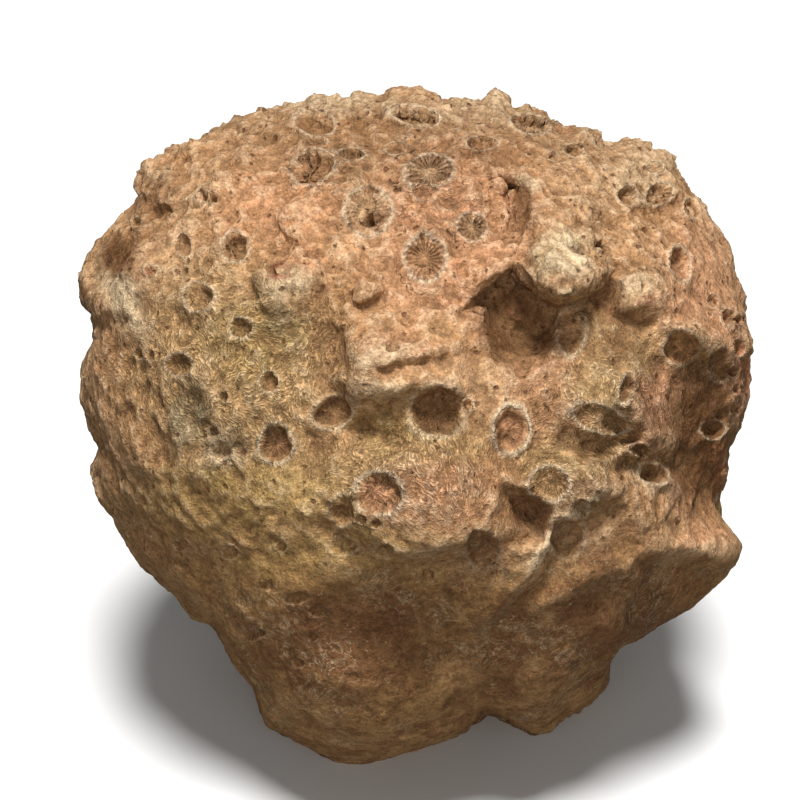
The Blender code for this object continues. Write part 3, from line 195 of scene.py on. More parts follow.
# Broken faces. Each line of (across, down, push towards the eye in mm) is an edge that flat faces meet in.
FACES = {
    "crest of the knob": (
        (563, 184, 2.5), (545, 205, 9.0), (548, 227, 14.0), (556, 252, 19.0), (564, 272, 20.0),
        (592, 270, 17.5),
    ),
    "lip of the knob": (
        (519, 250, 5.0), (517, 261, 8.0), (526, 272, 10.5), (540, 286, 13.5), (555, 300, 16.5),
        (568, 296, 17.5), (580, 289, 18.0), (597, 279, 15.0), (602, 264, 6.5), (600, 246, 1.5),
    ),
    "under the knob": (
        (511, 270, -5.0), (520, 281, -6.5), (537, 296, -6.5), (555, 308, -5.5), (570, 304, -4.0),
        (584, 299, -3.5), (601, 291, -3.5), (609, 272, -2.5), (606, 248, 0.0),
    ),
    "right of the crest": ((590, 200, 1.0), (585, 232, 6.0), (600, 246, 1.5)),
    "wall of the bowl": (
        (500, 174, 3.0), (518, 175, 5.0), (536, 180, 6.5), (538, 195, 8.0), (535, 208, 8.5),
        (534, 222, 8.5), (531, 238, 7.0), (519, 250, 5.0),
    ),
    "foot of the bowl's wall": (
        (497, 184, -3.0), (506, 188, -6.5), (513, 193, -8.0), (511, 206, -8.0), (510, 220, -7.5),
        (508, 234, -5.5), (505, 243, -1.5),
    ),
    "floor of the bowl": ((496, 202, -6.0), (496, 222, -5.0)),
    "left of the bowl": ((470, 182, 0.0), (476, 205, -1.5), (480, 228, -1.5), (490, 241, 0.0)),
    "pale plate": (
        (478, 262, 1.5), (488, 252, 3.0), (505, 251, 4.0), (513, 262, 6.5), (496, 275, 5.5),
        (478, 287, 3.5), (466, 298, 0.5),
    ),
    "shaded face, upper edge": ((511, 270, -5.0), (498, 283, -7.0), (483, 296, -6.5), (473, 307, -4.0)),
    "shaded face": (
        (490, 302, -8.0), (502, 318, -10.5), (518, 333, -12.0), (532, 346, -9.5), (546, 330, -9.5),
    ),
    "shaded face, lower edge": (
        (470, 322, 0.0), (478, 345, 0.0), (498, 369, 0.0), (522, 385, 0.5), (546, 364, 0.0),
        (558, 342, -0.5), (558, 320, -3.0),
    ),
    "cup wall right of the shaded face": ((585, 312, 0.5), (586, 340, 0.5), (572, 358, 0.5)),
    "crest of the plateau": (
        (350, 347, 4.5), (360, 358, 8.5), (370, 368, 10.0), (384, 363, 9.5), (400, 358, 8.5),
        (420, 355, 7.5), (440, 351, 6.0), (454, 352, 3.0),
    ),
    "below the crest": ((383, 370, 6.0), (400, 365, 4.5), (420, 362, 4.0), (441, 358, 2.5)),
    "lip of the ledge": (
        (339, 360, 2.5), (347, 374, 6.0), (362, 386, 8.0), (385, 389, 8.5), (405, 384, 8.0),
        (425, 381, 7.0), (443, 386, 5.0), (459, 392, 2.0),
    ),
    "under the ledge": (
        (321, 372, -0.6), (334, 393, -0.5), (356, 407, 0.5), (386, 410, 1.0), (405, 403, 0.5),
        (424, 397, 0.0), (444, 399, -0.5), (459, 403, 0.0),
    ),
    "hollow under the ledge": ((338, 416, -1.5), (364, 428, -2.5), (392, 436, -2.5), (404, 452, -0.5)),
    "left edge of the plateau": (
        (371, 309, 2.0), (357, 313, 3.0), (353, 328, 3.8), (350, 347, 4.5), (339, 360, 2.5),
    ),
    "left of the plateau": (
        (338, 313, -0.3), (335, 328, -0.8), (331, 344, -1.0), (324, 358, -0.6), (321, 372, -0.6),
    ),
    "top of the plateau": ((371, 309, 2.0), (400, 310, 2.5), (425, 314, 1.0), (450, 320, 0.5)),
    "middle of the plateau": (
        (373, 326, 4.5), (395, 336, 3.5), (420, 336, 3.5), (445, 333, 1.5), (468, 330, 0.5),
    ),
    "right of the ledge": ((465, 355, 0.5), (475, 375, 0.0), (478, 395, 0.0)),
    "chip": (
        (346, 289, 2.5), (362, 282, 3.0), (379, 284, 2.5), (372, 298, 4.0), (358, 299, 3.5),
        (346, 289, 2.5),
    ),
    "round the chip": (
        (339, 290, 0.0), (347, 298, -0.5), (358, 305, -0.8), (373, 303, 0.0), (385, 292, 0.0),
        (382, 277, 0.0), (361, 275, 0.0), (344, 281, 0.0), (339, 290, 0.0),
    ),
    "top edge of the left plate": ((264, 278, 4.5), (280, 273, 5.5), (298, 271, 4.0), (318, 279, 1.5)),
    "above the left plate": ((256, 271, 0.0), (280, 266, 0.0), (300, 264, 0.3), (325, 271, 0.0)),
    "left edge of the left plate": ((264, 278, 4.5), (265, 292, 5.0), (268, 306, 3.5)),
    "left of the left plate": ((256, 282, -0.5), (257, 295, -1.0), (257, 311, -0.5)),
    "face of the left plate": ((268, 306, 3.5), (284, 308, 3.0), (300, 302, 2.0), (318, 292, 0.5)),
    "hollow under the left plate": ((266, 328, -1.0), (283, 332, -1.8), (299, 327, -0.5)),
    "below the left plate": ((260, 347, 0.0), (284, 350, 0.0), (308, 338, 0.0)),
    "small lump": (
        (290, 222, 2.0), (300, 210, 2.5), (313, 218, 2.5), (312, 232, 2.0), (297, 233, 2.0),
        (290, 222, 2.0),
    ),
    "round the small lump": (
        (283, 229, -1.0), (291, 241, -1.2), (303, 246, -0.5), (323, 236, 0.0), (323, 212, 0.0),
        (300, 199, 0.0), (283, 214, 0.0), (283, 229, -1.0),
    ),
    "top of the right lump": ((625, 285, 3.5), (639, 273, 5.5), (655, 272, 5.0), (669, 283, 3.5)),
    "front of the right lump": ((627, 296, 4.5), (640, 301, 5.5), (655, 304, 5.5), (669, 298, 3.5)),
    "under the right lump": (
        (606, 318, -3.5), (628, 324, -4.0), (648, 325, -3.0), (662, 322, 1.0), (682, 309, 0.5),
    ),
    "hollow left of the right lump": ((601, 302, -4.5), (612, 292, -5.0)),
    "behind the right lump": ((614, 280, -1.0), (628, 270, 0.5), (655, 262, 0.5), (681, 276, 0.0)),
    "small rise": ((619, 248, 1.5), (633, 243, 2.5), (641, 254, 2.5), (628, 263, 2.0)),
    "round the small rise": ((613, 240, 0.0), (635, 235, 0.0), (649, 252, 0.0)),
    "valley": (
        (640, 338, -4.0), (655, 365, -4.5), (668, 395, -6.0), (677, 425, -7.0), (681, 447, -8.0),
        (684, 475, -12.0), (688, 505, -10.0), (692, 528, -2.0),
    ),
    "crest of the block": (
        (606, 374, 1.5), (627, 384, 5.0), (634, 404, 8.0), (642, 425, 8.5), (652, 441, 8.0),
    ),
    "left of the block": ((585, 398, 0.5), (612, 404, 4.0), (634, 404, 8.0)),
    "lip of the scoop": ((573, 424, 1.0), (590, 433, 2.5), (608, 430, 3.5), (624, 423, 5.0)),
    "hollow under the scoop": ((578, 446, -0.5), (598, 449, -1.5), (615, 443, -1.0), (634, 440, 1.0)),
    "lower lip of the block": (
        (602, 460, 2.0), (620, 453, 4.5), (637, 448, 7.0), (652, 441, 8.0), (667, 447, 1.0),
    ),
    "under the block": ((608, 470, -1.5), (634, 463, -2.0), (652, 459, -3.5), (669, 462, -7.0)),
    "below the slit": ((626, 492, 0.5), (645, 488, 1.5), (668, 482, 0.0), (676, 492, -5.0)),
    "diagonal ridge": (
        (604, 489, 4.5), (585, 502, 5.0), (571, 514, 5.0), (555, 529, 5.0), (545, 547, 5.0),
        (537, 566, 5.0), (525, 583, 4.5), (501, 604, 4.0), (482, 626, 3.0), (468, 650, 1.5),
    ),
    "below the diagonal ridge": (
        (614, 499, -1.0), (594, 515, -1.5), (577, 530, -2.5), (562, 545, -2.5), (553, 562, -2.5),
        (547, 580, -2.0), (521, 602, -1.5), (498, 622, -1.5), (484, 645, -0.5),
    ),
    "over the saddle": ((508, 484, 3.0), (530, 490, 4.5), (552, 500, 5.0)),
    "saddle": ((512, 499, -4.5), (528, 512, -9.0), (538, 530, -5.5)),
    "second diagonal ridge": (
        (640, 560, 2.5), (610, 572, 3.5), (582, 585, 4.0), (555, 600, 3.5), (533, 614, 1.5),
    ),
    "below the second ridge": (
        (642, 574, -1.5), (614, 588, -2.0), (588, 602, -2.0), (560, 617, -1.5), (540, 632, -0.5),
    ),
    "lip of the brow": (
        (336, 505, 1.0), (346, 516, 3.5), (362, 528, 5.0), (380, 541, 6.5), (400, 555, 9.0),
        (420, 556, 9.0), (440, 548, 8.5), (461, 541, 7.5), (474, 530, 6.5), (490, 521, 6.0),
        (503, 528, 5.0),
    ),
    "under the brow": (
        (330, 520, -1.5), (342, 531, -1.5), (358, 544, -1.5), (377, 556, -1.5), (398, 569, -1.5),
        (421, 569, -1.5), (444, 562, -1.5), (466, 560, -2.0), (486, 566, -2.0), (505, 548, 1.0),
    ),
    "face of the brow": (
        (345, 485, 0.5), (380, 470, 2.0), (420, 470, 3.0), (460, 475, 3.0), (495, 480, 2.0),
    ),
    "crest of the spur": (
        (636, 552, 2.5), (660, 547, 5.0), (683, 544, 7.5), (700, 553, 10.0), (716, 561, 12.0),
        (737, 553, 12.0),
    ),
    "top of the spur": ((700, 528, 0.0), (716, 524, 3.0), (728, 530, 7.0), (770, 545, 10.0)),
    "under the spur": (
        (642, 566, -1.0), (665, 563, -2.0), (688, 562, -2.0), (704, 572, -1.0), (722, 577, 0.0),
        (770, 575, 2.0),
    ),
    "edge of the faces": (
        (205, 150, 0.0), (262, 185, 0.0), (330, 190, 0.0), (400, 200, 0.0), (470, 165, 0.0),
        (520, 160, 0.0), (575, 165, 0.0), (620, 200, 0.0), (665, 230, 0.0), (700, 262, 0.0),
        (735, 285, 0.0), (780, 300, 0.0),
    ),
    "lower edge of the faces": (
        (40, 480, 0.0), (90, 500, 0.0), (150, 520, 0.0), (220, 500, 0.0), (270, 470, 0.0),
        (318, 490, 0.0), (310, 540, 0.0), (360, 590, 0.0), (430, 600, 0.0), (455, 660, 0.0),
        (490, 665, 0.0), (560, 640, 0.0), (640, 620, 0.0), (700, 620, 0.0), (770, 610, 0.0),
    ),
    "plain left of the left plate": ((240, 230, 0.0), (235, 300, 0.0), (245, 360, 0.0), (310, 420, 0.0)),
    "shelf on the right": (
        (662, 322, 1.0), (688, 330, 5.0), (712, 339, 9.0), (733, 346, 11.0), (775, 350, 11.0),
    ),
    "right side of the valley": (
        (668, 362, -5.0), (698, 368, -5.0), (714, 392, -6.0), (716, 420, -8.0), (708, 448, -10.0),
    ),
    "rib at the right edge": (
        (733, 346, 11.0), (738, 375, 6.0), (739, 402, 4.0), (733, 430, 2.0), (722, 455, -2.0),
    ),
    "outside the right edge": (
        (775, 350, 11.0), (775, 400, 9.0), (770, 440, 6.0), (765, 480, 0.0), (765, 510, 0.0),
        (770, 545, 10.0),
    ),
    "below the right rib": ((706, 470, -12.0), (704, 495, -11.0), (700, 515, -6.0)),
    "crest of the strap": (
        (208, 212, 1.5), (178, 232, 4.0), (154, 252, 6.0), (134, 270, 8.0), (119, 286, 9.0),
        (104, 308, 9.0),
    ),
    "left cavity": (
        (176, 221, -1.0), (150, 238, -4.0), (132, 250, -7.0), (113, 266, -7.0), (102, 280, -5.0),
    ),
    "far rim of the cavity": (
        (146, 212, 0.0), (120, 230, 2.0), (99, 246, 3.0), (84, 264, 4.0), (40, 270, 4.0),
    ),
    "left lobe": ((80, 284, 6.0), (92, 298, 8.0), (99, 312, 7.0)),
    "right of the strap": (
        (205, 240, 0.0), (180, 264, 1.0), (158, 292, 2.0), (140, 318, 3.5), (120, 338, 4.0),
    ),
    "left groove": (
        (109, 322, 2.5), (127, 352, -0.5), (141, 385, -1.5), (158, 430, -1.5), (172, 475, -0.5),
    ),
    "left lit ridge": ((86, 345, 4.5), (104, 388, 4.5), (122, 425, 4.0), (142, 459, 3.0), (152, 490, 1.0)),
    "left edge": ((40, 330, 6.0), (40, 420, 4.0), (40, 480, 0.0)),
    "dark left flank": ((86, 400, 0.5), (100, 435, 0.0), (118, 470, -0.5)),
    "right of the groove": ((158, 345, 2.0), (166, 385, 2.2), (174, 425, 1.8), (186, 465, 0.5)),
    "rim of the facet": (
        (172, 384, 2.0), (190, 378, 2.0), (206, 386, 2.0), (214, 402, 1.5), (218, 432, 1.0),
    ),
    "scooped facet": ((184, 400, -0.8), (194, 420, -1.2), (200, 445, -0.5)),
    "plain on the left": ((200, 290, 0.0), (200, 340, 0.0), (240, 400, 0.0), (245, 440, 0.0)),
    "corner block": ((148, 163, 3.0), (170, 159, 3.0), (198, 166, 1.5)),
    "lip of the recess": ((150, 197, 2.5), (166, 201, 3.0), (186, 194, 2.0)),
    "recess": ((154, 209, -2.0), (168, 211, -3.5), (183, 205, -2.0)),
    "left upper edge": ((120, 130, 0.0), (60, 220, 0.0), (40, 270, 4.0), (40, 330, 6.0)),
    "plain over the plateau": ((400, 225, 0.0), (440, 250, 0.0), (455, 280, 0.0), (400, 285, 0.0)),
    "plain left of the plateau": ((332, 262, 0.0), (325, 320, -1.0), (310, 360, 0.0), (310, 390, 0.0)),
    "plain below the plateau": (
        (420, 450, 0.0), (470, 430, 0.0), (500, 400, 0.0), (545, 400, 0.0), (585, 370, 0.0),
        (600, 330, 0.0),
    ),
    "plain over the brow": ((570, 445, 0.0), (520, 470, 0.0)),
}

# The parts of the picture with crisp edges, as ovals, and how many points wide the wear is there and
# elsewhere. The wear is the mean over these steps aside.
CRISP_PARTS = ((470, 285, 350, 330, 0), (120, 240, 170, 230, 0))
CRISP_WEAR = 1.2
SOFT_WEAR = 3.5
WEAR_STEPS = ((0, 0), (1, 0), (-1, 0), (0, 1), (0, -1), (0.7, 0.7), (-0.7, 0.7), (0.7, -0.7), (-0.7, -0.7))

# How edges wander in the picture: how wide the noise is, how many points it moves them, and its two offsets.
EDGE_WANDER = ((7 * MM, 2.2, (4.4, 8.8)), (2.5 * MM, 1.2, (6.2, 2.6)))
TONE_WANDER = ((9 * MM, 9.0, (3.3, 7.7)), (3 * MM, 4.0, (1.3, 5.7)))

# A ledge is the line of its lip, left to right with the raised side above, then mm: rise, reach up,
# cut below, reach down, and how far the lip hangs over.
LEDGES = {
    "top step": (((345, 106), (380, 112), (410, 124), (434, 132)), 1.6, 6.0, 1.2, 5.0, 0.5),
    "underside break": (((440, 716), (455, 700), (482, 690), (500, 672)), 2.0, 10.0, 2.0, 9.0, 0.0),
    "double cup lip": (((592, 236), (604, 262), (600, 280)), 2.0, 6.0, 2.0, 6.0, 0.0),
}

# A ridge is a line, its half width in mm and its rise in mm. A negative rise is a groove or a crack.
RIDGES = {
    "red crack": (((264, 271), (276, 269), (290, 271), (300, 268)), 0.9, -1.8),
    "plateau slit": (((386, 347), (400, 346)), 0.9, -2.2),
    "cleft by the double cup": (((599, 238), (602, 248), (608, 256)), 1.0, -3.0),
    "pit comb": (((458, 152), (470, 156), (488, 153)), 1.2, -1.4),
    "first foot crack": (((206, 578), (214, 590), (223, 597)), 1.0, -1.2),
    "second foot crack": (((278, 668), (284, 680), (290, 694)), 1.0, -1.4),
    "foot streak": (((299, 710), (305, 718), (312, 728)), 1.0, -1.0),
    "rib under the brow": (((470, 575), (462, 610), (440, 650)), 4.0, 1.5),
    "right underside rib": (((640, 560), (620, 600), (600, 640)), 4.0, 2.0),
    "right underside groove": (((665, 560), (650, 590), (625, 625)), 3.5, -2.0),
}

# A cup is (across, down, wide, tall, turn, depth in mm, rim in mm). A turn leans its top to the right.
CUPS = {
    "star cup, top": (429, 171, 46, 30, 8, 1.8, 1.0),
    "star cup, middle": (425, 258, 38, 44, 0, 1.9, 1.0),
    "star cup, right": (472, 227, 28, 27, 0, 1.6, 0.8),
    "patch under the top star": (425, 193, 24, 14, 0, 1.0, 0.3),
    "deep hole": (375, 217, 23, 21, 0, 5.0, 0.8),
    "cup round the deep hole": (368, 211, 44, 46, -10, 2.5, 0.9),
    "slanted hollow": (313, 167, 44, 32, 28, 3.2, 0.8),
    "top slot": (351, 154, 27, 11, 0, 2.5, 0.4),
    "top triangle": (396, 148, 21, 12, 10, 2.0, 0.4),
    "long top hollow": (414, 115, 48, 18, -8, 2.6, 0.5),
    "dark end of the top hollow": (431, 120, 16, 11, 0, 1.8, 0.3),
    "top blotch": (315, 123, 40, 24, -10, 2.2, 0.4),
    "cap pit": (530, 124, 40, 18, -10, 3.2, 0.8),
    "comb pit": (482, 143, 32, 13, 0, 2.0, 0.5),
    "high dot": (554, 156, 11, 9, 0, 1.4, 0.3),
    "high recess": (574, 150, 18, 12, 0, 2.0, 0.3),
    "high recess, right": (597, 160, 14, 9, 0, 1.4, 0.3),
    "twin hole, left": (202, 196, 11, 14, 0, 3.4, 0.5),
    "twin hole, right": (213, 198, 10, 12, 0, 3.4, 0.5),
    "far left dot": (136, 222, 10, 9, 0, 1.4, 0.3),
    "left cup": (235, 247, 26, 29, 0, 3.0, 1.0),
    "crescent": (184, 245, 14, 24, 10, 2.0, 0.5),
    "small slit": (185, 271, 7, 10, 0, 1.4, 0.3),
    "left orange pit": (151, 270, 14, 12, 0, 1.8, 0.3),
    "upper right oval": (655, 167, 17, 11, 10, 1.6, 0.4),
    "upper right star cup": (659, 194, 29, 20, 30, 2.5, 0.7),
    "round right cup": (627, 196, 20, 19, 0, 2.5, 0.8),
    "far right cup": (692, 208, 15, 20, 20, 2.2, 0.5),
    "narrow right cup": (680, 264, 20, 35, 12, 3.1, 0.8),
    "cup F": (198, 297, 29, 28, 0, 2.2, 0.8),
    "cup G": (241, 328, 22, 20, 0, 2.0, 0.7),
    "cup H": (179, 365, 26, 22, 0, 2.0, 0.7),
    "cup I": (224, 397, 9, 11, 0, 2.1, 0.4),
    "pair, left": (139, 354, 9, 11, 0, 1.6, 0.4),
    "pair, right": (150, 355, 9, 11, 0, 1.6, 0.4),
    "cup K": (214, 432, 10, 10, 0, 1.2, 0.3),
    "hollow below K": (221, 451, 22, 20, 0, 2.0, 0.4),
    "cup L": (269, 382, 18, 21, 0, 2.6, 0.8),
    "cup M": (276, 444, 33, 37, 0, 2.2, 1.1),
    "cup N": (333, 412, 42, 30, 22, 2.5, 0.8),
    "big olive cup": (437, 412, 54, 50, 12, 2.8, 0.9),
    "cup under the knob": (571, 331, 28, 46, 0, 1.0, 0.3),
    "white ringed oval": (511, 430, 34, 48, -4, 2.5, 1.3),
    "scoop": (600, 419, 56, 26, -18, 1.4, 0.9),
    "small right cup": (713, 301, 11, 14, 0, 1.6, 0.4),
    "tilted right cup": (681, 347, 36, 34, 30, 1.7, 0.8),
    "grey right cup": (720, 364, 24, 34, 0, 1.3, 0.5),
    "white ringed slot": (627, 389, 14, 32, -16, 2.5, 1.0),
    "lower right cup": (713, 430, 24, 18, 0, 2.6, 0.7),
    "pink floored cup": (379, 494, 46, 42, 0, 2.8, 1.2),
    "cup beside it": (343, 511, 24, 32, 0, 2.5, 0.6),
    "small cup below": (362, 519, 12, 10, 0, 1.6, 0.4),
    "small cup below, right": (376, 524, 12, 9, 0, 1.6, 0.4),
    "tiny dot": (353, 499, 7, 6, 0, 1.2, 0.2),
    "brow cup": (385, 551, 18, 15, 0, 2.0, 0.4),
    "underside hole": (428, 576, 13, 15, 0, 2.8, 0.4),
    "leaf shaped hollow": (482, 549, 34, 38, 20, 2.5, 0.8),
    "saddle cup": (549, 484, 38, 35, 0, 2.5, 1.0),
    "small saddle cup": (582, 508, 16, 18, 0, 2.2, 0.5),
    "small saddle dot": (594, 505, 9, 10, 0, 1.6, 0.4),
    "shallow brow hollow": (566, 537, 36, 40, 0, 2.2, 0.5),
    "brow dot": (568, 568, 9, 9, 0, 1.2, 0.3),
    "triangular slit": (654, 474, 30, 20, -18, 3.8, 0.6),
    "slit above it": (640, 450, 24, 12, -10, 2.2, 0.6),
    "spur dot": (680, 524, 9, 9, 0, 1.2, 0.2),
    "notch by the olive cup": (468, 405, 10, 12, 0, 1.8, 0.3),
    "right edge hole 1": (739, 320, 11, 10, 0, 2.2, 0.5),
    "right edge hole 2": (728, 317, 14, 15, 0, 3.0, 0.5),
    "right edge hole 3": (739, 348, 13, 17, 0, 2.8, 0.5),
    "right edge hole 4": (733, 372, 10, 11, 0, 2.2, 0.5),
    "right edge hole 5": (738, 389, 11, 10, 0, 2.4, 0.5),
    "right edge hole 6": (735, 410, 10, 11, 0, 2.2, 0.5),
    "faint 1": (181, 545, 14, 12, 0, 0.9, 0.3),
    "faint 2": (230, 552, 16, 14, 0, 0.9, 0.3),
    "faint 3": (342, 546, 30, 18, 0, 1.2, 0.4),
    "faint 4": (281, 547, 12, 10, 0, 1.0, 0.3),
    "faint 5": (267, 586, 14, 10, 0, 0.9, 0.2),
    "faint 6": (297, 598, 25, 12, 10, 1.1, 0.3),
    "faint 7": (318, 611, 20, 12, 0, 1.0, 0.3),
    "faint 8": (254, 635, 25, 11, 15, 0.9, 0.3),
    "faint 9": (313, 637, 11, 9, 0, 0.8, 0.2),
    "faint 10": (299, 663, 12, 10, 0, 0.9, 0.2),
    "faint 11": (353, 677, 12, 10, 0, 0.9, 0.2),
}

# A cup's wall, the crest of its lip and the widths of the lip's two slopes, as shares of its half width, and
# the share of its depth and rim that time has left.
CUP_WALL = (0.6, 1.0)
CUP_LIP = 1.05
CUP_LIP_SLOPES = (0.11, 0.26)
CUP_WORN_TO = 0.85

# The back, drawn on a like picture from behind. It is made up, after the forms of the front.
BACK_BULGES = {
    "broken shoulder": (300, 225, 220, 120, 20, 6.0),
    "scar": (440, 365, 210, 120, -25, -10.0),
    "standing rib": (540, 260, 90, 190, 15, 8.0),
    "lower belly": (360, 520, 230, 130, 0, 8.0),
    "left dent": (190, 400, 120, 170, 10, -9.0),
    "right dent": (640, 450, 110, 160, -15, -9.0),
    "upper dent": (430, 150, 130, 80, 0, -5.0),
    "right shoulder": (640, 270, 120, 90, 0, 6.0),
    "tail ridge": (490, 565, 70, 160, 25, 6.0),
    "left foot dent": (270, 640, 100, 110, -10, -8.0),
    "right foot dent": (570, 640, 100, 100, 0, -7.0),
    "left knob": (245, 335, 76, 64, 0, 4.5),
    "scar lump": (395, 300, 64, 46, 10, 5.0),
    "low hollow": (420, 445, 90, 60, 0, -5.0),
}
BACK_LEDGES = {
    "shoulder lip": (((185, 250), (235, 284), (300, 300), (352, 286), (405, 250)), 3.5, 15.0, 4.0, 12.0, 1.0),
    "scar lip": (((395, 330), (440, 318), (480, 330), (520, 318), (560, 335)), 3.0, 10.0, 4.0, 12.0, 0.8),
    "belly lip": (((235, 560), (290, 588), (345, 580), (400, 598), (450, 585), (510, 550)),
                  4.0, 14.0, 4.0, 12.0, 1.0),
    "high step": (((320, 128), (380, 150), (450, 140), (520, 160), (570, 150)), 2.0, 8.0, 2.0, 7.0, 1.0),
    "right lip": (((585, 335), (625, 356), (660, 350), (700, 330)), 2.5, 11.0, 3.5, 10.0, 0.8),
    "knob lip": (((212, 350), (240, 368), (272, 362), (286, 340)), 2.0, 8.0, 2.5, 8.0, 0.6),
}
BACK_RIDGES = {
    "long ridge": (((250, 420), (300, 460), (330, 510), (345, 560)), 3.0, 2.2),
    "crooked groove": (((560, 400), (540, 450), (560, 500), (550, 560)), 2.4, -2.4),
    "scar crack": (((340, 380), (380, 392), (430, 386), (470, 400)), 1.2, -1.8),
    "rib crest": (((520, 180), (536, 230), (548, 290), (540, 330)), 2.4, 1.8),
    "low ridge": (((400, 640), (440, 600), (470, 560)), 3.0, 2.0),
}

# How much the sides that neither picture shows well swell, and over what width.
SIDE_SWELLS = ((48 * MM, 6.0 * MM), (24 * MM, 2.5 * MM))

# The foot seen from above, as (x, y) from under the ball's middle in mm: two lobes with a notch in front.
FOOT_PLAN = (
    (-45, 6), (-44, -6), (-41, -13), (-31, -22), (-21, -31), (-13, -32), (-2, -26), (7, -21), (14, -14),
    (20, -7), (26, -13), (32, -19), (37, -17), (42, -8), (49, -2), (54, 10), (54, 24), (46, 38),
    (28, 47), (5, 51), (-18, 47), (-36, 36), (-45, 21),
)
FOOT_MIDDLE = (4, 10)
FOOT_REACHES_DOWN = 92 * MM
FOOT_WOBBLE = 20 * MM
FOOT_FLARES_BEHIND = 32 * MM

# Where the ball's underside goes over into the foot, as shares of the plan's reach, and how much the flare
# behind adds to that, evenly and by its wobble.
FOOT_EDGE = (0.95, 1.04)
FOOT_FLARE = (0.45, 0.5)

# Cups on the sides that the front doesn't show. Most of those that would face down more than the level of
# SCATTER_BELOW are left out.
SCATTERED_CUPS = 120
SCATTER_TRIES = 4000
SCATTER_SEED = 11
SCATTER_BELOW = -0.35
SCATTER_LEFT_OUT = 0.6
SCATTER_GAP = 13 * MM
CUP_HALF_WIDTHS = (2.6 * MM, 6.0 * MM)

# Within which shares the gaps between them vary, and their length, their depth for their half width, and
# their rims. A cup reaches so many half widths out.
GAPS_VARY = (0.7, 1.3)
CUPS_STRETCH = (0.75, 1.3)
CUP_DEPTHS = (0.35, 0.65)
CUP_RIMS = (0.4, 1.0)
CUP_REACHES = 2.2

# The grain: how wide and how high its swells, sharp crests, scallops and grit are. A chip also has the share
# of its height that it keeps where the stone is smooth.
SWELLS = ((26 * MM, 1.2 * MM), (11 * MM, 0.8 * MM), (5 * MM, 0.5 * MM), (2.4 * MM, 0.3 * MM))
CRESTS = ((17 * MM, 0.35 * MM), (7 * MM, 0.3 * MM))
SCALLOPS = ((11 * MM, 0.6 * MM), (5 * MM, 0.35 * MM))
GRIT = ((2.4 * MM, 0.16 * MM), (1.2 * MM, 0.14 * MM))
CHIPS = ((16 * MM, 0.9 * MM, 0.8), (6.5 * MM, 0.6 * MM, 0.35), (3.2 * MM, 0.42 * MM, 0.2))

# How wide the worn seam between two chips is, how much scallops and chips are bent, and what stirs a chip's
# place into chance values.
CHIP_SEAM = 0.16
SCALLOP_BEND = 0.35
CHIP_BEND = 0.25
CHANCE_MIX = ((12.7, 26.9, 11.3), (31.1, 18.3, 27.1), (7.47, 24.6, 12.4))
CHANCE_SPREAD = 43758.5

# The share of their height that swells, scallops and crests lose where the stone is smooth. It is smooth
# below the brow in the picture, low down out of the picture, and on whatever faces down.
SWELLS_CALMED = 0.45
SCALLOPS_CALMED = 0.9
CRESTS_CALMED = 0.75
SMOOTH_IN_PICTURE = (490, 600)
SMOOTH_BY_HEIGHT = (-10 * MM, -45 * MM)
SMOOTH_BY_SLOPE = (0.0, -0.6)

# How many rounds of evening the surface takes for the relief seen from near and from far, for the directions
# out that it is measured along, and for those that the fine ribs lie on.
RELIEF_NEAR = 8
RELIEF_NORMALS = 6
RELIEF_FAR = 60
RIB_NORMALS = 12

# The heights over the ball's middle between which the broken crown begins, and how much rougher it is.
CROWN_HEIGHTS = (48 * MM, 66 * MM)
CROWN_ROUGHER = 1.4

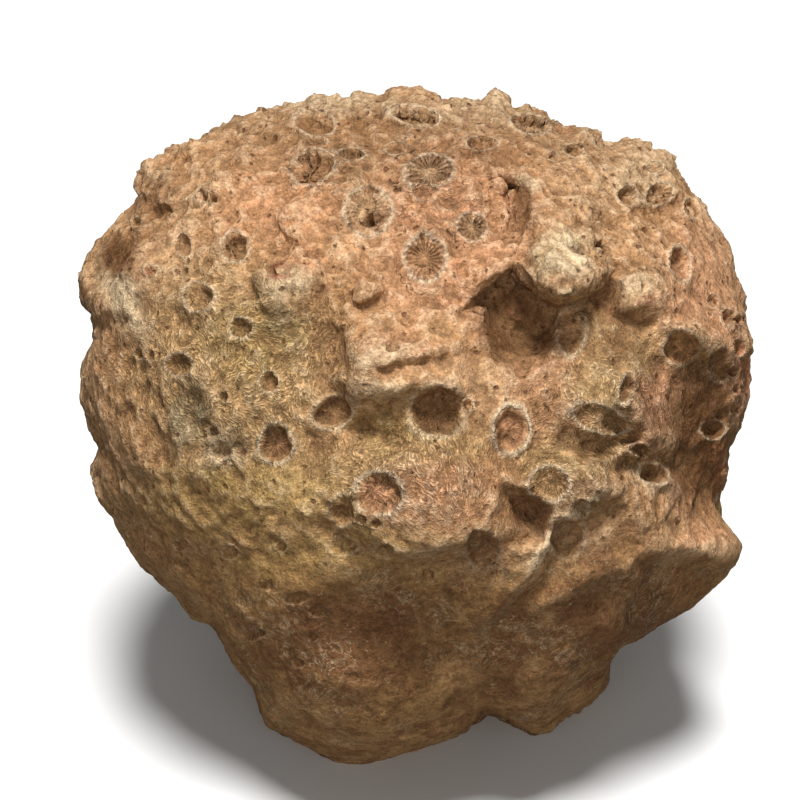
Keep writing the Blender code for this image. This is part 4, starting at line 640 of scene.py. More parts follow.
# Where the stone takes another tone: (across, down, wide, tall, turn, strength) in the front picture.
TONES = {
    "blush": (
        (450, 235, 230, 250, 0, 0.75), (285, 205, 170, 120, 0, 0.55), (700, 310, 110, 230, 0, 0.7),
        (655, 405, 54, 120, -18, 0.95), (430, 500, 170, 110, 0, 0.5), (705, 540, 70, 46, -12, 1.0),
        (690, 480, 50, 130, 0, 0.6), (540, 375, 90, 60, 0, 0.6), (360, 425, 60, 60, 0, 0.5),
        (400, 345, 110, 50, 0, 0.5), (300, 260, 80, 40, 0, 0.5), (560, 420, 90, 60, 0, 0.5),
    ),
    "ochre": (
        (235, 370, 260, 270, 0, 0.7), (405, 440, 200, 90, 0, 0.8), (625, 345, 110, 110, 0, 0.55),
        (570, 450, 130, 80, 0, 0.8), (320, 480, 180, 90, 0, 0.7), (590, 385, 120, 60, 0, 0.7),
        (440, 330, 60, 40, 0, 0.5),
    ),
    "olive": (
        (230, 500, 260, 110, 0, 0.7), (330, 570, 300, 110, 0, 0.9), (285, 332, 56, 46, 0, 0.9),
        (380, 425, 90, 56, 0, 0.6), (400, 620, 220, 140, 0, 0.8), (690, 350, 70, 60, 0, 0.4),
        (250, 340, 110, 90, 0, 0.5),
    ),
    # Pale; the narrow strips along the crests of the ridges, the plateau and the brow's lip are partly
    # painted highlight.
    "pale": (
        (568, 254, 66, 60, -14, 0.95), (522, 185, 44, 16, -10, 0.8), (124, 296, 44, 110, 30, 1.0),
        (380, 352, 80, 24, 10, 0.6), (382, 388, 90, 34, 0, 0.5),
        (290, 285, 66, 40, 0, 0.7), (640, 285, 56, 36, 0, 0.6), (160, 175, 40, 20, 0, 0.4),
        (330, 100, 260, 40, -5, 0.45), (480, 110, 200, 50, 10, 0.4), (640, 170, 90, 60, 30, 0.4),
        (225, 450, 60, 40, 0, 0.6), (650, 480, 80, 30, -20, 0.5), (695, 555, 90, 22, 10, 0.5),
        (580, 509, 76, 16, 39, 0.9), (540, 556, 72, 16, 61, 0.9), (496, 617, 96, 14, 50, 0.8),
        (586, 587, 124, 14, 27, 0.6), (420, 550, 150, 12, 0, 0.5),
    ),
    # Grey-green, partly the stone's own and partly painted shade on faces the light misses: under the knob's
    # lip, its left facet, the ledge's wall, the facet on the left and the hollow under the left plate.
    "grey_and_shade": (
        (190, 415, 56, 84, -6, 1.0), (541, 262, 40, 60, -14, 0.7), (560, 298, 80, 22, 0, 0.7),
        (288, 325, 50, 50, 0, 0.6), (400, 393, 100, 22, 0, 0.6),
    ),
    # Dark brown, partly the stone's own and partly painted shade: the knob's cast shadow, the shade under the
    # ledge, the scoop and the shelf, in the valley and the saddle, by the bowl's wall, on the underside and
    # over the crown.
    "umber_and_shade": (
        (512, 322, 100, 104, 12, 1.2), (437, 412, 54, 46, 12, 0.7), (706, 410, 60, 120, -10, 1.1),
        (118, 258, 50, 56, -30, 1.0), (84, 294, 30, 40, 0, 0.8), (165, 182, 34, 26, 0, 0.7),
        (162, 212, 46, 26, 0, 0.6), (146, 204, 90, 64, 40, 0.45), (620, 610, 190, 130, -20, 0.8),
        (482, 549, 34, 38, 20, 0.6), (524, 207, 26, 66, 6, 0.9),
        (608, 302, 46, 44, 0, 0.9), (505, 640, 120, 130, 0, 0.7), (600, 456, 64, 24, -14, 0.6),
        (622, 345, 70, 44, 0, 0.6),
        (355, 640, 240, 150, 0, 0.9), (470, 425, 40, 30, 0, 0.5), (420, 135, 520, 90, 0, 0.42),
        (700, 440, 76, 180, 0, 1.1), (682, 424, 22, 90, -12, 0.7), (528, 512, 56, 50, 10, 0.9),
        (600, 640, 150, 130, 0, 0.7), (628, 322, 60, 24, 0, 0.7), (570, 480, 60, 30, -20, 0.4),
    ),
    "rust": (
        (279, 270, 32, 8, 0, 1.0), (149, 270, 12, 8, 0, 0.9), (681, 347, 30, 26, 30, 0.7),
        (742, 380, 24, 130, 0, 0.6), (650, 303, 26, 16, 0, 0.6), (690, 590, 100, 50, -30, 0.6),
        (720, 470, 30, 60, 0, 0.4), (600, 690, 40, 60, 0, 0.4),
    ),
    "ribs": (
        (235, 370, 290, 260, 0, 0.9), (405, 470, 240, 130, 0, 0.9), (600, 410, 190, 170, 0, 0.85),
        (440, 200, 130, 110, 0, 0.5), (330, 170, 120, 60, 0, 0.5), (560, 470, 130, 90, 0, 0.9),
        (690, 360, 90, 90, 0, 0.5),
    ),
}

# Where a patch of tone fades out and where a cup's floor ends, as shares of their half widths, and how much
# of the tones round it the tone of a cup's floor covers.
TONE_EDGE = (0.35, 1.15)
CUP_FLOOR = (0.7, 1.0)
FLOOR_COVERS = 0.7

# Out of the picture the tones lie by noise: how wide it is, its offset, the values that the tone sets in
# between, its strength on what faces up and down, and how much of it any surface facing down has besides.
HIDDEN_TONES = {
    "blush": (45 * MM, 11.0, 0.0, 0.3, 0.7, 0.0, 0.0),
    "ochre": (38 * MM, 23.0, -0.1, 0.3, 0.8, 0.0, 0.0),
    "olive": (40 * MM, 35.0, 0.0, 0.35, 0.7, 0.7, 0.4),
    "pale": (24 * MM, 47.0, 0.1, 0.4, 0.6, 0.0, 0.0),
    "grey_and_shade": (28 * MM, 95.0, 0.15, 0.45, 0.5, 0.5, 0.0),
    # Out of the picture the dark brown is partly painted shade, and more so on what faces down.
    "umber_and_shade": (34 * MM, 59.0, 0.1, 0.4, 0.6, 0.6, 0.3),
    "rust": (30 * MM, 71.0, 0.25, 0.5, 0.5, 0.5, 0.0),
    "ribs": (42 * MM, 83.0, -0.2, 0.2, 0.9, 0.0, 0.0),
}

# What lies in some cups: how pale the rim is, a pale that is partly painted highlight, then the floor's tone
# and how strong that is; a dark brown floor is partly painted shade. Below it stand the rims of any other
# cup, in the picture and out of it.
CUP_TONES = {
    "white ringed oval": (1.0, "blush", 0.9),
    "white ringed slot": (1.0, "umber_and_shade", 0.6),
    "pink floored cup": (0.8, "blush", 0.9),
    "big olive cup": (0.4, "umber_and_shade", 0.8),
    "deep hole": (0.6, "umber_and_shade", 1.0),
    "cup round the deep hole": (0.7, "pale", 0.3),
    "star cup, top": (0.7, "pale", 0.4),
    "star cup, middle": (0.8, "blush", 0.4),
    "star cup, right": (0.7, "pale", 0.4),
    "cup M": (0.8, "blush", 0.7),
    "cup N": (0.6, "umber_and_shade", 0.4),
    "scoop": (0.8, "ochre", 0.5),
    "left cup": (0.6, "umber_and_shade", 0.4),
    "tilted right cup": (0.5, "rust", 0.4),
    "grey right cup": (0.4, "umber_and_shade", 0.5),
    "triangular slit": (0.5, "umber_and_shade", 0.9),
    "leaf shaped hollow": (0.4, "umber_and_shade", 0.6),
    "saddle cup": (0.7, "ochre", 0.5),
    "cap pit": (0.5, "umber_and_shade", 0.6),
}
OTHER_RIMS = 0.55
HIDDEN_RIMS = 0.5

# The cups that keep their ribs, and how plainly these show there and in any other cup.
STAR_CUPS = {
    "star cup, top": 1.0,
    "star cup, middle": 1.0,
    "star cup, right": 0.9,
    "cup round the deep hole": 0.5,
    "big olive cup": 0.3,
    "left cup": 0.4,
    "upper right star cup": 0.7,
    "cup M": 0.4,
}
OTHER_CUPS = 0.15

# How far out a cup still counts, in its own half widths, and what stands for no cup at all.
CUP_COUNTS_TO = 1.7
NO_CUP = 9.0

# How many ribs run to a cup's middle: the least number, the number for each point that it is wide and tall,
# and the number in a cup out of the picture.
LEAST_RIBS = 9
RIBS_BY_SIZE = 0.26
HIDDEN_RIBS = 12

# The stone's tones in linear red, green and blue, and how much a smooth surface of it shines. The underside's
# tones are partly painted shade, the sunk, hollow and pit tones are painted shade, and the rim and worn tones
# are partly painted highlight.
PLAIN_TONES = ((0.53, 0.31, 0.158, 1), (0.46, 0.245, 0.112, 1))
PATCH_TONES = {
    "ochre": (0.62, 0.395, 0.175, 1),
    "blush": (0.61, 0.305, 0.16, 1),
    "olive": (0.42, 0.275, 0.095, 1),
    "pale": (0.68, 0.50, 0.30, 1),
    "grey_and_shade": (0.37, 0.265, 0.14, 1),
    "umber_and_shade": (0.17, 0.078, 0.032, 1),
    "rust": (0.34, 0.11, 0.05, 1),
}
# The underside's browner tones, darkened partly as painted shade, and the painted shade of its hollows.
UNDERSIDE_TONES_AND_SHADE = ((0.38, 0.215, 0.085, 1), (0.225, 0.112, 0.045, 1))
UNDERSIDE_UMBER_AND_SHADE = (0.15, 0.066, 0.032, 1)
RIM_TONE_AND_HIGHLIGHT = (0.70, 0.55, 0.37, 1)
WORN_TONE_AND_HIGHLIGHT = (0.72, 0.56, 0.37, 1)
SUNK_PAINTED_SHADE = (0.22, 0.115, 0.05, 1)
HOLLOW_PAINTED_SHADE = (0.25, 0.14, 0.065, 1)
STAIN_TONE = (0.13, 0.065, 0.028, 1)
VEIN_TONE = (0.50, 0.38, 0.23, 1)
PIT_PAINTED_SHADE = (0.13, 0.05, 0.022, 1)
STONE_SHEEN = 0.06


def ease(low, high, x):
    """0 below low, 1 above high, and a smooth rise between them."""
    t = np.clip((x - low) / (high - low), 0.0, 1.0)
    return t * t * (3.0 - 2.0 * t)


def unit(vectors):
    """The vectors at a length of 1."""
    return vectors / np.linalg.norm(vectors, axis=1, keepdims=True)


def dots(first, second):
    """The dot product of each vector with its partner."""
    return np.einsum("ij,ij->i", first, second)


def oval(places, across, down, wide, tall, turn):
    """How far out each place lies in an oval, 0 at its middle and 1 at its edge, and its angle there."""
    angle = math.radians(turn)
    x = places[:, 0] - across
    y = down - places[:, 1]
    along = x * math.cos(angle) + y * math.sin(angle)
    over = y * math.cos(angle) - x * math.sin(angle)
    return np.hypot(along / (wide / 2), over / (tall / 2)), np.arctan2(over, along)


def round_cup(places, cup):
    """The indexes of the places round a cup, how far out in it they lie, and their angles there."""
    across, down, wide, tall, turn, _, _ = cup
    near = np.flatnonzero(np.abs(places - (across, down)).max(axis=1) < max(wide, tall))
    out, angle = oval(places[near], across, down, wide, tall, turn)
    return near, out, angle


def beside_line(places, line):
    """Distance of each place from a line, above it positive, and the share of the line's length there."""
    corners = np.array(line, float)
    steps = np.diff(corners, axis=0)
    lengths = np.linalg.norm(steps, axis=1)
    total = lengths.sum()
    best = np.full(len(places), np.inf)
    side = np.zeros(len(places))
    share = np.zeros(len(places))
    run = 0.0
    for start, step, length in zip(corners[:-1], steps, lengths):
        offset = places - start
        t = np.clip(offset @ step / length**2, 0.0, 1.0)
        apart = np.linalg.norm(offset - t[:, None] * step, axis=1)
        nearer = apart < best
        above = offset[:, 0] * step[1] - offset[:, 1] * step[0] > 0
        best = np.where(nearer, apart, best)
        side = np.where(nearer, np.where(above, 1.0, -1.0), side)
        share = np.where(nearer, (run + t * length) / total, share)
        run += length
    return best * side, share


def field(points, size, offset):
    """Soft noise from -1 to 1 over the stone, so many metres wide."""
    return np.array([noise.noise(spot) for spot in (points / size + offset).tolist()])


def fields(points, size, offsets):
    """Soft noise in as many directions as there are offsets, side by side."""
    return np.stack([field(points, size, offset) for offset in offsets], axis=1)


def wander(points, waves):
    """How far noise moves each place across and down in the picture, in picture points."""
    return sum(fields(points, size, offsets) * reach for size, reach, offsets in waves)


def cell_chance(cells, salt):
    """Three steady chance values from 0 to 1 for each cell."""
    stirred = CHANCE_SPREAD * np.sin(cells @ np.array(CHANCE_MIX) + salt)
    return stirred - np.floor(stirred)


def chips(points, size, salt):
    """Chipped faces about so wide, each leaning its own way, with heights of about -0.5 to 0.5."""
    spots = points / size
    own = np.floor(spots)
    nearest = np.full(len(spots), 9.0)
    second = nearest.copy()
    lean = np.zeros(len(spots))
    other_lean = lean.copy()
    for step in itertools.product((-1, 0, 1), repeat=3):
        cells = own + step
        offset = spots - cells - cell_chance(cells, salt)
        apart = np.linalg.norm(offset, axis=1)
        this_lean = dots(offset, cell_chance(cells, salt + 7.7) * 2 - 1)
        closest = apart < nearest
        next_closest = ~closest & (apart < second)
        second = np.where(closest, nearest, np.where(next_closest, apart, second))
        other_lean = np.where(closest, lean, np.where(next_closest, this_lean, other_lean))
        nearest = np.where(closest, apart, nearest)
        lean = np.where(closest, this_lean, lean)
    share = 0.5 + 0.5 * ease(0.0, CHIP_SEAM, second - nearest)
    return lean * share + other_lean * (1 - share)


def reach_at(angles, corners):
    """How far out the line through the corners runs at each angle round the middle."""
    bearings = np.arctan2(corners[:, 1], corners[:, 0])
    return np.interp(angles, bearings, np.hypot(corners[:, 0], corners[:, 1]), period=math.tau)


def outline_radius(angles, spread):
    """The outline's distance from the picture's middle in metres, smoothed over an angle in radians."""
    corners = (np.array(OUTLINE, float) - PICTURE_MIDDLE) * (POINT, -POINT)
    fine = np.linspace(-math.pi, math.pi, OUTLINE_STEPS + 1)[:-1]
    drawn = reach_at(fine, corners)
    apart = np.angle(np.exp(1j * (fine[:, None] - fine[None, :])))
    weights = np.exp(-((apart / spread) ** 2))
    smooth = (weights @ drawn) / weights.sum(axis=1)
    return np.interp(angles, fine, smooth, period=math.tau)


def ball(points):
    """Unit points on a sphere, moved out to the stone's overall form."""
    right, up, toward = points @ FRONT.right, points @ FRONT.up, points @ FRONT.toward
    bearing = np.arctan2(up, right)
    flat = np.hypot(right, up)
    shown_by = DEPTH_IN_FRONT / SIGHT_DISTANCE
    near_edge = np.exp(-(((np.arcsin(np.clip(toward, -1, 1)) - shown_by) / OUTLINE_BAND) ** 2))
    broad = outline_radius(bearing, OUTLINE_BROAD)
    fine = outline_radius(bearing, OUTLINE_FINE)
    radius = (broad + (fine - broad) * near_edge) / (1 + shown_by**2 / 2) - GRAIN_ALLOWANCE
    depth = np.where(toward > 0, DEPTH_IN_FRONT, DEPTH_BEHIND)
    return (
        (radius * flat * np.cos(bearing))[:, None] * FRONT.right
        + (radius * flat * np.sin(bearing))[:, None] * FRONT.up
        + (depth * toward)[:, None] * FRONT.toward
    )


def swell_sides(points):
    """Broad swells on the sides that the front doesn't show."""
    from_middle = unit(points)
    hidden = ease(0.0, -0.3, from_middle @ FRONT.toward)
    height = np.zeros(len(points))
    for size, rise in SIDE_SWELLS:
        height += rise * field(points, size, 5.1)
    return points + from_middle * (height * hidden)[:, None]


def set_on_foot(points):
    """Carries the ball's underside straight down inside the foot's plan."""
    middle = np.array(FOOT_MIDDLE, float) * MM
    offset = points[:, :2] - middle
    edge = reach_at(np.arctan2(offset[:, 1], offset[:, 0]), np.array(FOOT_PLAN, float) * MM - middle)
    out = np.hypot(offset[:, 0], offset[:, 1]) / edge
    wobble = field(points, FOOT_WOBBLE, 0.0)
    even, uneven = FOOT_FLARE
    flare = ease(0.0, FOOT_FLARES_BEHIND, offset[:, 1]) * (even + uneven * wobble)
    start, end = FOOT_EDGE
    inside = (1 - ease(start, end + flare, out)) * (points[:, 2] < 0)
    lowered = points.copy()
    lowered[:, 2] += inside * (np.minimum(points[:, 2], -FOOT_REACHES_DOWN) - points[:, 2])
    return lowered


def push_big_forms(points, view, bulges, ledges):
    """The bulges, hollows and ledges that one picture shows, pushed along the line of sight."""
    places = view.places(points)
    from_middle = unit(points)
    turned = from_middle @ view.toward
    head_on = ease(*HEAD_ON, turned)[:, None]
    raising = view.sight_lines(points)
    sinking = raising * head_on + from_middle * (1 - head_on)
    facing = ease(*TURNED_IN, turned)
    moved = points.copy()
    for *form, near in bulges.values():
        out, _ = oval(places, *form)
        weight = (1 - ease(*FORM_EDGE, out)) * facing * MM
        moved += (weight * near)[:, None] * (raising if near > 0 else sinking)
    for line, rise, reach, cut, drop, hang in ledges.values():
        side, share = beside_line(places, line)
        side = side * POINT / MM
        ends = ease(0.0, LEDGE_ENDS, share) * ease(0.0, LEDGE_ENDS, 1 - share) * facing * MM
        above = ease(-0.5, 0.5, side)
        raised = above * np.exp(-((np.maximum(side, 0) / reach) ** 2)) * rise
        lowered = (1 - above) * np.exp(-((np.minimum(side, 0) / drop) ** 2)) * cut
        lip = above * np.exp(-((np.maximum(side, 0) / LEDGE_LIP) ** 2)) * hang
        moved += (raised * ends)[:, None] * raising - (lowered * ends)[:, None] * sinking
        moved -= (lip * ends)[:, None] * view.up
    return moved


def face_heights(places):
    """The push in mm at each place, running flat between the edges of the broken faces."""
    spots = []
    pushes = []
    joined = []
    for line in FACES.values():
        for index, (across, down, push) in enumerate(line):
            if index:
                joined.append((len(spots) - 1, len(spots)))
            spots.append(Vector((across, down)))
            pushes.append(push)
    corners, _, faces, sources, _, _ = delaunay_2d_cdt(spots, joined, [], 0, 0.01)
    heights = np.zeros(len(places))
    tops = [max((pushes[k] for k in source), key=abs, default=None) for source in sources]
    for face in faces:
        a, b, c = (np.array(corners[k]) for k in face)
        low, high = np.minimum(np.minimum(a, b), c), np.maximum(np.maximum(a, b), c)
        near = np.flatnonzero(((places >= low) & (places <= high)).all(axis=1))
        area = (b[0] - a[0]) * (c[1] - a[1]) - (c[0] - a[0]) * (b[1] - a[1])
        offset = places[near] - a
        along = (offset[:, 0] * (c[1] - a[1]) - offset[:, 1] * (c[0] - a[0])) / area
        over = (offset[:, 1] * (b[0] - a[0]) - offset[:, 0] * (b[1] - a[1])) / area
        inside = (along >= -ROUNDING) & (over >= -ROUNDING) & (along + over <= 1 + ROUNDING)
        first, second, third = (tops[k] for k in face)
        push = first + along * (second - first) + over * (third - first)
        heights[near[inside]] = push[inside]
    return heights


def push_faces(points):
    """The broken faces of the front, with edges that wander a little."""
    places = FRONT.places(points) + wander(points, EDGE_WANDER)
    facing = ease(*TURNED_IN, points @ FRONT.toward / np.linalg.norm(points, axis=1))
    out = np.min([oval(places, *part)[0] for part in CRISP_PARTS], axis=0)
    worn = (CRISP_WEAR + (SOFT_WEAR - CRISP_WEAR) * ease(0.75, 1.15, out))[:, None]
    push = sum(face_heights(places + worn * step) for step in WEAR_STEPS) / len(WEAR_STEPS)
    return points + FRONT.sight_lines(points) * (push * facing * MM)[:, None]


def coordinates(mesh, kind):
    """The mesh's points or normals as an array."""
    values = np.empty(len(mesh.vertices) * 3, np.float32)
    mesh.vertices.foreach_get(kind, values)
    return values.reshape(-1, 3).astype(float)


def set_coordinates(mesh, points):
    """Moves the mesh's corners to these points."""
    mesh.vertices.foreach_set("co", np.ascontiguousarray(points, np.float32).ravel())
    mesh.update()


def outward(mesh):
    """The surface's directions out, evened by the way out from the stone's middle."""
    return unit(coordinates(mesh, "normal") + 0.6 * unit(coordinates(mesh, "co")))


def cup_profile(out, angle, depth, rim, seed):
    """Height over a cup: a dished floor, a steep wall and a raised lip that isn't quite round."""
    ragged = 1 + 0.06 * np.sin(3 * angle + seed) + 0.05 * np.sin(5 * angle + 2.3 * seed)
    q = out * ragged
    floor = 1 - ease(*CUP_WALL, q)
    lip = np.exp(-(((q - CUP_LIP) / np.where(q < CUP_LIP, *CUP_LIP_SLOPES)) ** 2))
    lip *= 0.7 + 0.35 * np.sin(2 * angle + 1.7 * seed) + 0.25 * np.sin(7 * angle + 2.9 * seed)
    return (CUP_WORN_TO * rim * lip - CUP_WORN_TO * depth * floor) * MM


def carve(mesh, view, cups, ridges):
    """The cups and ridges that one picture shows."""
    points = coordinates(mesh, "co")
    directions = outward(mesh)
    places = view.places(points)
    facing = ease(-0.05, 0.15, dots(directions, view.sight_lines(points)))
    height = np.zeros(len(points))
    for index, cup in enumerate(cups.values()):
        *_, depth, rim = cup
        near, out, angle = round_cup(places, cup)
        height[near] += cup_profile(out, angle, depth, rim, index)
    for line, half_width, rise in ridges.values():
        side, share = beside_line(places, line)
        ends = ease(0.0, RIDGE_ENDS, share) * ease(0.0, RIDGE_ENDS, 1 - share)
        height += rise * MM * ends * np.exp(-((side * POINT / MM / half_width) ** 2))
    set_coordinates(mesh, points + directions * (height * facing)[:, None])


def scatter_cups(mesh):
    """Seeded cups all over the sides that the front doesn't show, fewer of them underneath."""
    chance = random.Random(SCATTER_SEED)
    points = coordinates(mesh, "co")
    directions = outward(mesh)
    seen = dots(directions, FRONT.sight_lines(points))
    tree = KDTree(len(points))
    for index, point in enumerate(points):
        tree.insert(point, index)
    tree.balance()
    middles = []
    cups = []
    height = np.zeros(len(points))
    hidden = np.flatnonzero(seen < 0.02)
    tries = 0
    while len(middles) < SCATTERED_CUPS and tries < SCATTER_TRIES:
        tries += 1
        index = int(hidden[chance.randrange(len(hidden))])
        middle = Vector(points[index])
        if any((middle - other).length < SCATTER_GAP * chance.uniform(*GAPS_VARY) for other in middles):
            continue
        if directions[index][2] < SCATTER_BELOW and chance.random() < SCATTER_LEFT_OUT:
            continue
        middles.append(middle)
        half = chance.uniform(*CUP_HALF_WIDTHS)
        stretch = chance.uniform(*CUPS_STRETCH)
        normal = Vector(directions[index])
        along = normal.orthogonal().normalized()
        along.rotate(normal.to_track_quat("Z", "Y"))
        along = (along - normal * along.dot(normal)).normalized()
        over = normal.cross(along)
        near = [found[1] for found in tree.find_range(middle, half * CUP_REACHES)]
        offset = points[near] - points[index]
        x = offset @ np.array(along) / (half * stretch)
        y = offset @ np.array(over) / (half / stretch)
        depth = half / MM * chance.uniform(*CUP_DEPTHS)
        rim = chance.uniform(*CUP_RIMS)
        height[near] += cup_profile(np.hypot(x, y), np.arctan2(y, x), depth, rim, tries)
        cups.append((points[index], np.array(along) / (half * stretch), np.array(over) / (half / stretch)))
    set_coordinates(mesh, points + directions * (height * ease(0.1, -0.05, seen))[:, None])
    return cups


def crown(points):
    """1 on the broken crown of the stone, 0 below it."""
    return ease(*CROWN_HEIGHTS, points[:, 2])


def calmness(points, directions):
    """1 where the stone is smooth, below the brow and on whatever faces down, and 0 on its rough top."""
    down = FRONT.places(points)[:, 1]
    shown = ease(-0.1, 0.2, points @ FRONT.toward / np.linalg.norm(points, axis=1))
    low = shown * ease(*SMOOTH_IN_PICTURE, down) + (1 - shown) * ease(*SMOOTH_BY_HEIGHT, points[:, 2])
    return np.maximum(low, ease(*SMOOTH_BY_SLOPE, directions[:, 2]))


def roughen(mesh):
    """Broken grain: wide swells, chipped facets and small knobbly lumps."""
    points = coordinates(mesh, "co")
    directions = outward(mesh)
    under = calmness(points, directions)
    rougher = 1 + CROWN_ROUGHER * crown(points)
    height = np.zeros(len(points))
    for size, rise in SWELLS:
        height += rise * field(points, size, 0.0) * (1 - SWELLS_CALMED * under)
    for size, rise in SCALLOPS:
        bent = points + fields(points, size, (1.5, 3.5, 5.5)) * SCALLOP_BEND * size
        apart = np.array([noise.voronoi(spot)[0][0] for spot in (bent / size).tolist()])
        some = ease(-0.25, 0.25, field(points, 4 * size, 9.1))
        height += rise * (apart**2 * 2.2 - 0.5) * some * (1 - SCALLOPS_CALMED * under) * rougher
    for size, rise, calm_share in CHIPS:
        bent = points + fields(points, 0.6 * size, (2.5, 4.5, 6.5)) * CHIP_BEND * size
        height += rise * chips(bent, size, size / MM) * (1 - (1 - calm_share) * under) * rougher
    for size, rise in CRESTS:
        folds = field(points, size, 31.7)
        height += rise * (0.5 - 2.0 * np.abs(folds)) * (1 - CRESTS_CALMED * under)
    set_coordinates(mesh, points + directions * height[:, None])


def strew_grit(mesh):
    """The finest lumps, which lie in the cups too."""
    points = coordinates(mesh, "co")
    height = sum(rise * field(points, size, 2.2) for size, rise in GRIT)
    set_coordinates(mesh, points + outward(mesh) * height[:, None])


def apply_modifier(rock, kind, **settings):
    """Puts a modifier of a kind on the stone, with its settings, and applies it at once."""
    modifier = rock.modifiers.new(kind.title(), kind)
    for name, value in settings.items():
        setattr(modifier, name, value)
    bpy.context.view_layer.objects.active = rock
    rock.select_set(True)
    bpy.ops.object.modifier_apply(modifier=modifier.name)


def keep_outer_skin(mesh):
    """Drops the pockets that folded ledges or the flat break seal off, and keeps the one outer skin."""
    skin = bmesh.new()
    skin.from_mesh(mesh)
    unseen = set(skin.verts)
    shells = []
    while unseen:
        shell = {unseen.pop()}
        front = list(shell)
        while front:
            corner = front.pop()
            for edge in corner.link_edges:
                other = edge.other_vert(corner)
                if other in unseen:
                    unseen.remove(other)
                    shell.add(other)
                    front.append(other)
        shells.append(shell)
    outer = max(shells, key=len)
    bmesh.ops.delete(skin, geom=[corner for corner in skin.verts if corner not in outer], context="VERTS")
    skin.to_mesh(mesh)
    skin.free()


def break_off_flat(mesh, level):
    """Cuts the stone off flat at a height, closes the cut and keeps the part above it."""
    cut = bmesh.new()
    cut.from_mesh(mesh)
    geometry = cut.verts[:] + cut.edges[:] + cut.faces[:]
    bmesh.ops.bisect_plane(
        cut, geom=geometry, plane_co=(0, 0, level), plane_no=(0, 0, -1), clear_outer=True
    )
    bmesh.ops.holes_fill(cut, edges=[edge for edge in cut.edges if edge.is_boundary])
    bmesh.ops.triangulate(cut, faces=cut.faces[:])
    cut.to_mesh(mesh)
    cut.free()


def place_in_box(mesh, low, high):
    """Sets the stone where its solid stands and keeps it in the solid's box. Gives the move it took."""
    points = coordinates(mesh, "co")
    own_low, own_high = points.min(axis=0), points.max(axis=0)
    move = (np.array(low) + high - own_low - own_high) / 2
    move[2] = low[2] - own_low[2]
    set_coordinates(mesh, np.clip(points + move, low, high))
    return move


def edge_ends(mesh):
    """The two corners of each edge of the mesh."""
    ends = np.empty(len(mesh.edges) * 2, np.int32)
    mesh.edges.foreach_get("vertices", ends)
    return ends.reshape(-1, 2)


def evened(values, edges, rounds):
    """Values on the corners, averaged with their neighbours so many times."""
    count = len(values)
    ends = np.concatenate((edges[:, 0], edges[:, 1]))
    others = np.concatenate((edges[:, 1], edges[:, 0]))
    neighbours = np.maximum(np.bincount(ends, minlength=count), 1)
    columns = values.reshape(count, -1).T.copy()
    for _ in range(rounds):
        for index, column in enumerate(columns):
            around = np.bincount(ends, weights=column[others], minlength=count) / neighbours
            columns[index] = 0.5 * column + 0.5 * around
    return columns.T.reshape(values.shape)


def mark(mesh, name, values):
    """Keeps a value for each corner of the mesh, which the stone's material reads by name."""
    kind = "FLOAT_VECTOR" if values.ndim == 2 else "FLOAT"
    attribute = mesh.attributes.new(name, kind, "POINT")
    key = "vector" if values.ndim == 2 else "value"
    attribute.data.foreach_set(key, np.ascontiguousarray(values, np.float32).ravel())


def mark_tones(mesh, points):
    """Where the stone is pink, ochre, olive, pale, grey, dark brown or rusty, the grey and dark brown partly
    painted shade, in front by given patches and elsewhere by noise.
    """
    normals = coordinates(mesh, "normal")
    places = FRONT.places(points)
    from_middle = unit(points)
    shown = ease(-0.05, 0.2, from_middle @ FRONT.toward)
    wandered = places + wander(points, TONE_WANDER)
    upward = ease(-0.5, 0.3, normals[:, 2])
    tones = {}
    for name, patches in TONES.items():
        size, offset, low, high, above, below, base = HIDDEN_TONES[name]
        behind = ease(low, high, field(points, size, offset)) * (above * upward + below * (1 - upward))
        behind += base * (1 - upward)
        weight = np.zeros(len(points))
        for *patch, strength in patches:
            out, _ = oval(wandered, *patch)
            weight = np.maximum(weight, strength * (1 - ease(*TONE_EDGE, out)))
        tones[name] = weight * shown + behind * (1 - shown)
    facing = ease(0.05, 0.25, dots(normals, FRONT.sight_lines(points)))
    for name, cup in CUPS.items():
        near, out, _ = round_cup(places, cup)
        floor = 1 - ease(*CUP_FLOOR, out)
        _, tone, strength = CUP_TONES.get(name, (OTHER_RIMS, None, 0.0))
        if tone:
            kept = tones[tone][near]
            tones[tone][near] = kept + (strength - kept) * floor * facing[near]
            for other in tones:
                if other not in (tone, "ribs"):
                    tones[other][near] *= 1 - FLOOR_COVERS * floor * strength * facing[near]
    for name, values in tones.items():
        mark(mesh, name, values)
    # The material paints the underside's browner tone, partly painted shade, by this mark.
    mark(mesh, "under", calmness(points, normals))


